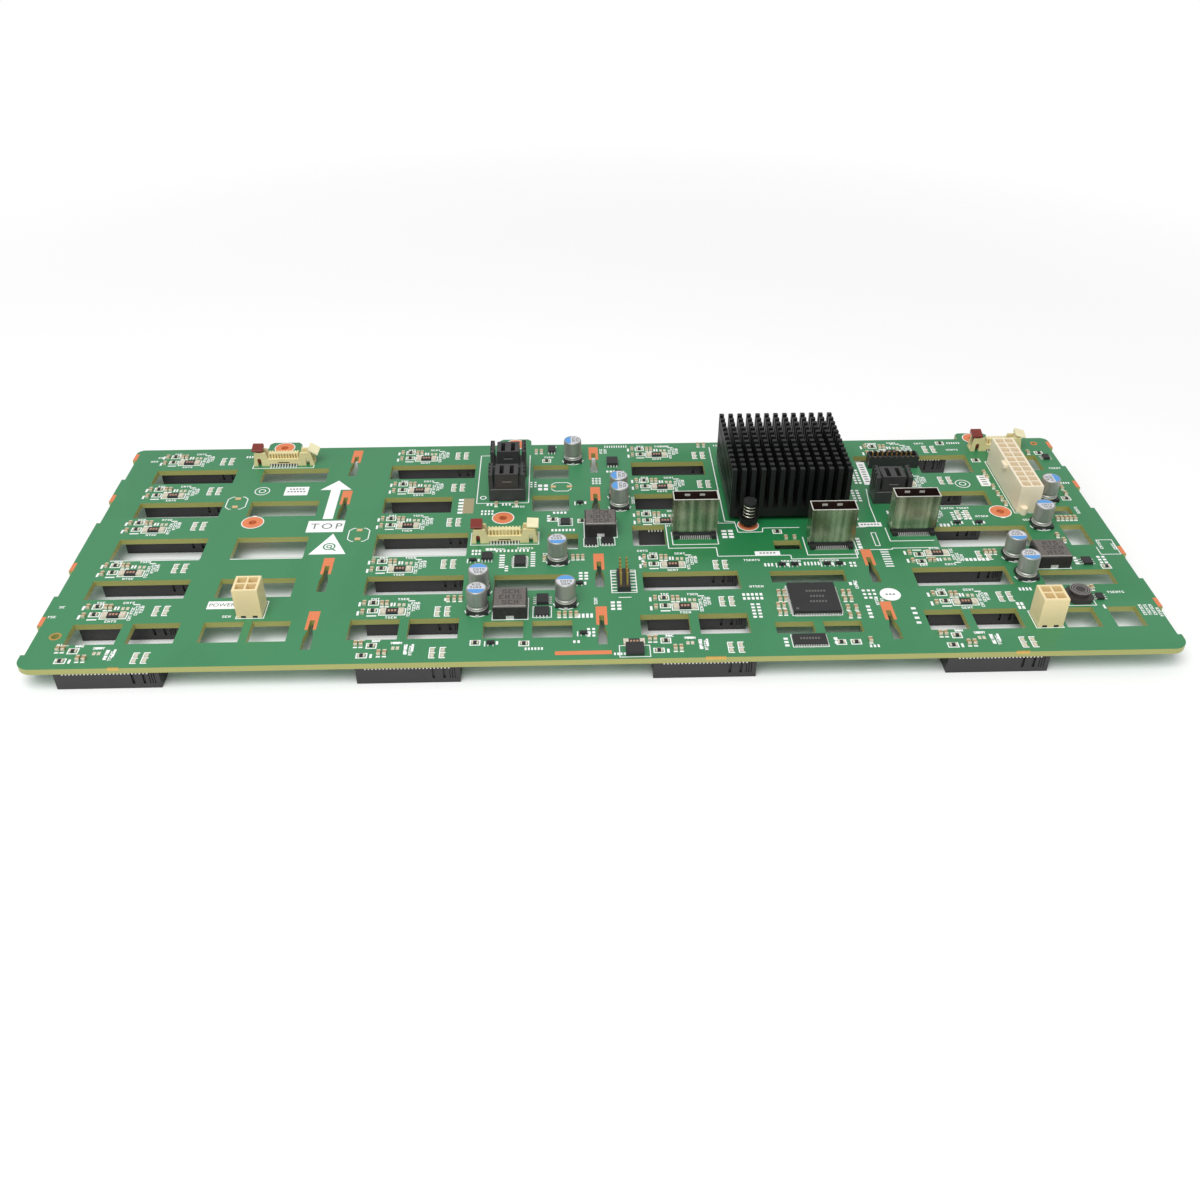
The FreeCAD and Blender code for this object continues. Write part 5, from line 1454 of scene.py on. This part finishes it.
class BACKPLANE_OT_cable_headers(bpy.types.Operator):
    """Finish the cable headers, round off their levers, and set their ribs and contacts"""
    bl_idname = "backplane.cable_headers"
    bl_label = "Cable headers"

    def execute(self, context):
        settings = context.scene.backplane_parts
        cream = finish_of("cream_plastic", moulded, settings.header, 0.38)
        ribs, gaps, leads, slots = [], [], [], Shape()
        step = settings.header_pitch / MM / 2
        for number, (x, y, count) in enumerate(CABLE_HEADERS, 1):
            wear("cable_header_%d" % number, cream)
            for side, colour in (("left", settings.lever_left), ("right", settings.lever_right)):
                lever = "header_lever_%d_%s" % (number, side)
                finish = finish_of("lever_" + side, moulded, colour, 0.3)
                piece = keep(lever + "_rounded", rounded_lever(lever), finish, lever + "_body")
                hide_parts(lever)
            half = (count - 1) * step
            for side, turn in ((-1, 0), (1, 180)):
                rib, gap, lead = (y + side * across for across in (1.25, 1.0, 2.7))
                ribs.append((x - half - step, rib, x + half + step, rib, TOP + 0.65, turn))
                gaps.append((x - half, gap, x + half, gap, TOP + 0.7, turn))
                leads.append((x - half, lead, x + half, lead, TOP, turn))
                # Dark strips on the front and back faces are painted shade of the slots the leads come out
                # of
                ys = sorted((y + side * 2.69, y + side * 2.73))
                slots.block(x - half - 0.6, x + half + 0.6, *ys, TOP, TOP + 1.15)
                slots.block(x - 2.6, x + 2.6, *ys, TOP + 1.5, TOP + 2.0)
        slots.settle("header_slots", painted("shaded_slot", "4d4529"))
        grow("header_ribs", blade_tree, rows(ribs), cream, "header_plastic", pitch=settings.header_pitch,
             width=0.0007, depth=0.0007, height=0.0050)
        # The contacts between the ribs are dull gold, partly their own plating and partly painted shade in
        # the gaps
        grow("header_contacts", blade_tree, rows(gaps), plated("dull_gold", "c79a4c"),
             pitch=settings.header_pitch, width=0.0005, depth=0.0002, height=0.0044)
        grow("header_leads", lead_tree, rows(leads), tinned(), pitch=settings.header_pitch, width=0.00055,
             thickness=0.0003, reach=0.0019, rise=0.0011)
        return {"FINISHED"}


class BACKPLANE_OT_power_headers(bpy.types.Operator):
    """Finish the power headers, and solder their pins"""
    bl_idname = "backplane.power_headers"
    bl_label = "Power headers"

    def execute(self, context):
        settings = context.scene.backplane_parts
        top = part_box("power_header_20_way")[1][2]
        wear("power_header_20_way", finish_of("ivory_plastic", cells_finish, settings.long_power,
                                              settings.long_power_cell, top))
        cream = finish_of("warm_plastic", cells_finish, settings.power, settings.power_cell, top)
        foot_shades = Shape()
        for name in ("power_header_4_way_left", "power_header_4_way_right"):
            wear(name, cream)
            low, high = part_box(name)
            # Two dark patches at the foot of each header's front are painted shade of the slots there
            for at in (0.27, 0.73):
                x = (low[0] + (high[0] - low[0]) * at) / MM
                y = low[1] / MM - MIDDLE_Y
                foot_shades.block(x - 0.9, x + 0.9, y - 0.05, y + 0.3, TOP, TOP + 0.9)
        foot_shades.settle("header_feet", painted("dark_slot", "2a2620"))
        wear("power_header_pins", gold())
        cone = Shape()
        cone.turned(SOLDER_PROFILE, 12)
        where = []
        for x0, y0, lines in POWER_HEADERS:
            x0, y0 = x0 + CELL_FROM_CORNER, y0 + CELL_FROM_CORNER
            where += [(x0 + CELL_PITCH * i, y0 + CELL_PITCH * j, UNDERSIDE, 0) for i in range(2)
                      for j in range(lines)]
        where += [(PIN_HEADER_X + side * PIN_PITCH / 2, PIN_HEADER_FIRST_Y + PIN_PITCH * j, UNDERSIDE, 0)
                  for side in SIDES for j in range(5)]
        copies("solder_cones", cone, places(where), tinned())
        return {"FINISHED"}


class BACKPLANE_OT_capacitors(bpy.types.Operator):
    """Turn the capacitor cans with their crimp and rolled rim, and mark their tops"""
    bl_idname = "backplane.capacitors"
    bl_label = "Can capacitors"

    def execute(self, context):
        settings = context.scene.backplane_parts
        wear("capacitor_bases", black_plastic())
        can = Shape()
        can.turned(CAN_PROFILE)
        where = [(x, y, TOP + 1.5, turn) for x, y, turn in CAPACITORS]
        metal = finish_of("drawn_can", sheet_metal, settings.can, 0.42, (1.0, 1.0, 0.04), 0.7)
        piece = copies("capacitor_shells", can, places(where), metal, "can_aluminium")
        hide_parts("capacitor_cans")
        top = Shape()
        top.disc(0, 0, 3.44, 8.5, 8.66)
        lid = finish_of("can_top", ink_finish, settings.can_top, 0.35)
        copies("capacitor_tops", top, places(where), lid)
        mark = Shape()
        turns = [math.radians(15 + 150 * k / 15) for k in range(16)]
        mark.prism([(3.42 * math.cos(t), 3.42 * math.sin(t)) for t in turns], 8.6, 8.7)
        blue = finish_of("blue_ink", ink_finish, settings.can_mark, 0.35)
        copies("capacitor_marks", mark, places(where), blue)
        # The rolled rim at each can's foot is painted near white, a painted highlight
        rim = Shape()
        rim.turned(RIM_PROFILE)
        copies("capacitor_rims", rim, places(where), bright_rim())
        text = Shape()
        text.word(0.3, -0.4, 4, 0, 8.64, 8.69)
        text.word(0.1, -2.1, 3, 0, 8.64, 8.69)
        copies("capacitor_text", text, places(where), grey_ink())
        tabs = [(x, y - 4.6, TOP, 0, (1.3, 1.4, 0.35)) for x, y, turn in CAPACITORS]
        blocks("capacitor_tabs", tabs, tinned())
        return {"FINISHED"}


class BACKPLANE_OT_inductors(bpy.types.Operator):
    """Finish the pressed inductors, with painted light on their tops and painted shade on their sides, a
    painted highlight along their top front edges, and their terminals
    """
    bl_idname = "backplane.inductors"
    bl_label = "Inductors"

    def execute(self, context):
        settings = context.scene.backplane_parts
        wear("inductors", finish_of("pressed_iron", pressed_iron, settings.choke, settings.choke_shaded_side))
        wear("round_inductor", finish_of("round_iron", moulded, tint("3a3735"), 0.5, 0.15, 1200.0))
        ends, edges, text = Shape(), Shape(), Shape()
        for x, y, w, d, h in INDUCTORS:
            near, far, high = y - d / 2, y + d / 2, TOP + h
            ends.block(x - 1.5, x + 1.5, near - 0.25, near + 0.2, TOP, TOP + 1.5)
            ends.block(x - 1.5, x + 1.5, far - 0.2, far + 0.25, TOP, TOP + 1.5)
            for row in (-1, 0, 1):
                text.word(x + 0.2, y + 3.4 * row, 4 - abs(row), 0, high, high + 0.03, 2.0)
            # A pale strip along each top front edge is a painted highlight
            edges.block(x - w / 2 + 0.4, x + w / 2 - 0.4, near + 0.3, near + 0.62, high - 0.25, high + 0.03)
        text.settle("inductor_text", painted("faint_ink", "4b4845"))
        ends.settle("inductor_terminals", tinned())
        edges.settle("inductor_edges", plated("worn_edge", "c4c0ba"))
        grooves = Shape()
        high = TOP + ROUND_INDUCTOR_H
        for r in (2.0, 2.9, 3.7):
            grooves.ring(*ROUND_INDUCTOR, r, r + 0.3, high - 0.02, high + 0.05)
        grooves.settle("round_inductor_ring", painted("ring_ink", "8f8b87"))
        return {"FINISHED"}


class BACKPLANE_OT_stage(bpy.types.Operator):
    """Set the floor, the soft light and the camera"""
    bl_idname = "backplane.stage"
    bl_label = "Stage"

    def execute(self, context):
        settings = context.scene.backplane_stage
        scene = context.scene
        scene.view_settings.view_transform = "Standard"

        ground = bmesh.new()
        bmesh.ops.create_grid(ground, x_segments=1, y_segments=1, size=FLOOR_HALF)
        data = bpy.data.meshes.new("floor")
        ground.to_mesh(data)
        ground.free()
        floor = put("floor", data)
        floor.location.z = -FLOOR_DROP
        data.materials.append(fading_floor("pale_floor", settings.floor))

        lamp = bpy.data.lights.new("soft_lamp", "AREA")
        lamp.shape = "DISK"
        lamp.size = LAMP_SIZE
        lamp.energy = settings.lamp_power
        light = put("soft_lamp", lamp)
        light.location = LAMP_AT
        light.rotation_euler = [math.radians(turn) for turn in LAMP_TURNS]

        world = bpy.data.worlds.new("studio")
        scene.world = world
        world.use_nodes = True
        tree = world.node_tree
        background = tree.nodes["Background"]
        path = node(tree, "ShaderNodeLightPath")
        seen = sums(tree, "MAXIMUM", path.outputs["Is Camera Ray"], path.outputs["Is Transmission Ray"])
        strength = spread(tree, seen, 0.0, 1.0, settings.sky, 1.0)
        background.inputs["Color"].default_value = (1.0, 1.0, 1.0, 1.0)
        feed(tree, background.inputs["Strength"], strength)

        lens = bpy.data.cameras.new("camera")
        lens.lens = settings.lens
        lens.sensor_width = 36.0
        lens.clip_start = 0.01
        camera = put("camera", lens)
        camera.location = CAMERA_AT
        camera.rotation_euler = [math.radians(turn) for turn in CAMERA_TURNS]
        scene.camera = camera
        return {"FINISHED"}


OPERATORS = (
    BACKPLANE_OT_board, BACKPLANE_OT_print, BACKPLANE_OT_components, BACKPLANE_OT_drive_sockets,
    BACKPLANE_OT_cooling, BACKPLANE_OT_chips, BACKPLANE_OT_ports, BACKPLANE_OT_upright_sockets,
    BACKPLANE_OT_cable_headers, BACKPLANE_OT_power_headers, BACKPLANE_OT_capacitors, BACKPLANE_OT_inductors,
    BACKPLANE_OT_stage,
)


class BACKPLANE_PT_steps(bpy.types.Panel):
    """Lists the steps that finish the board"""
    bl_label = "Backplane"
    bl_space_type = "VIEW_3D"
    bl_region_type = "UI"
    bl_category = "Backplane"

    def draw(self, context):
        for step in OPERATORS:
            self.layout.operator(step.bl_idname)


CLASSES = (BoardSettings, PartSettings, StageSettings) + OPERATORS + (BACKPLANE_PT_steps,)


def register():
    for kind in CLASSES:
        bpy.utils.register_class(kind)
    bpy.types.Scene.backplane_board = PointerProperty(type=BoardSettings)
    bpy.types.Scene.backplane_parts = PointerProperty(type=PartSettings)
    bpy.types.Scene.backplane_stage = PointerProperty(type=StageSettings)


def unregister():
    del bpy.types.Scene.backplane_board
    del bpy.types.Scene.backplane_parts
    del bpy.types.Scene.backplane_stage
    for kind in reversed(CLASSES):
        bpy.utils.unregister_class(kind)


def main():
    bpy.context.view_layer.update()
    register()
    for step in OPERATORS:
        group, name = step.bl_idname.split(".")
        getattr(getattr(bpy.ops, group), name)()


if __name__ == "__main__":
    main()
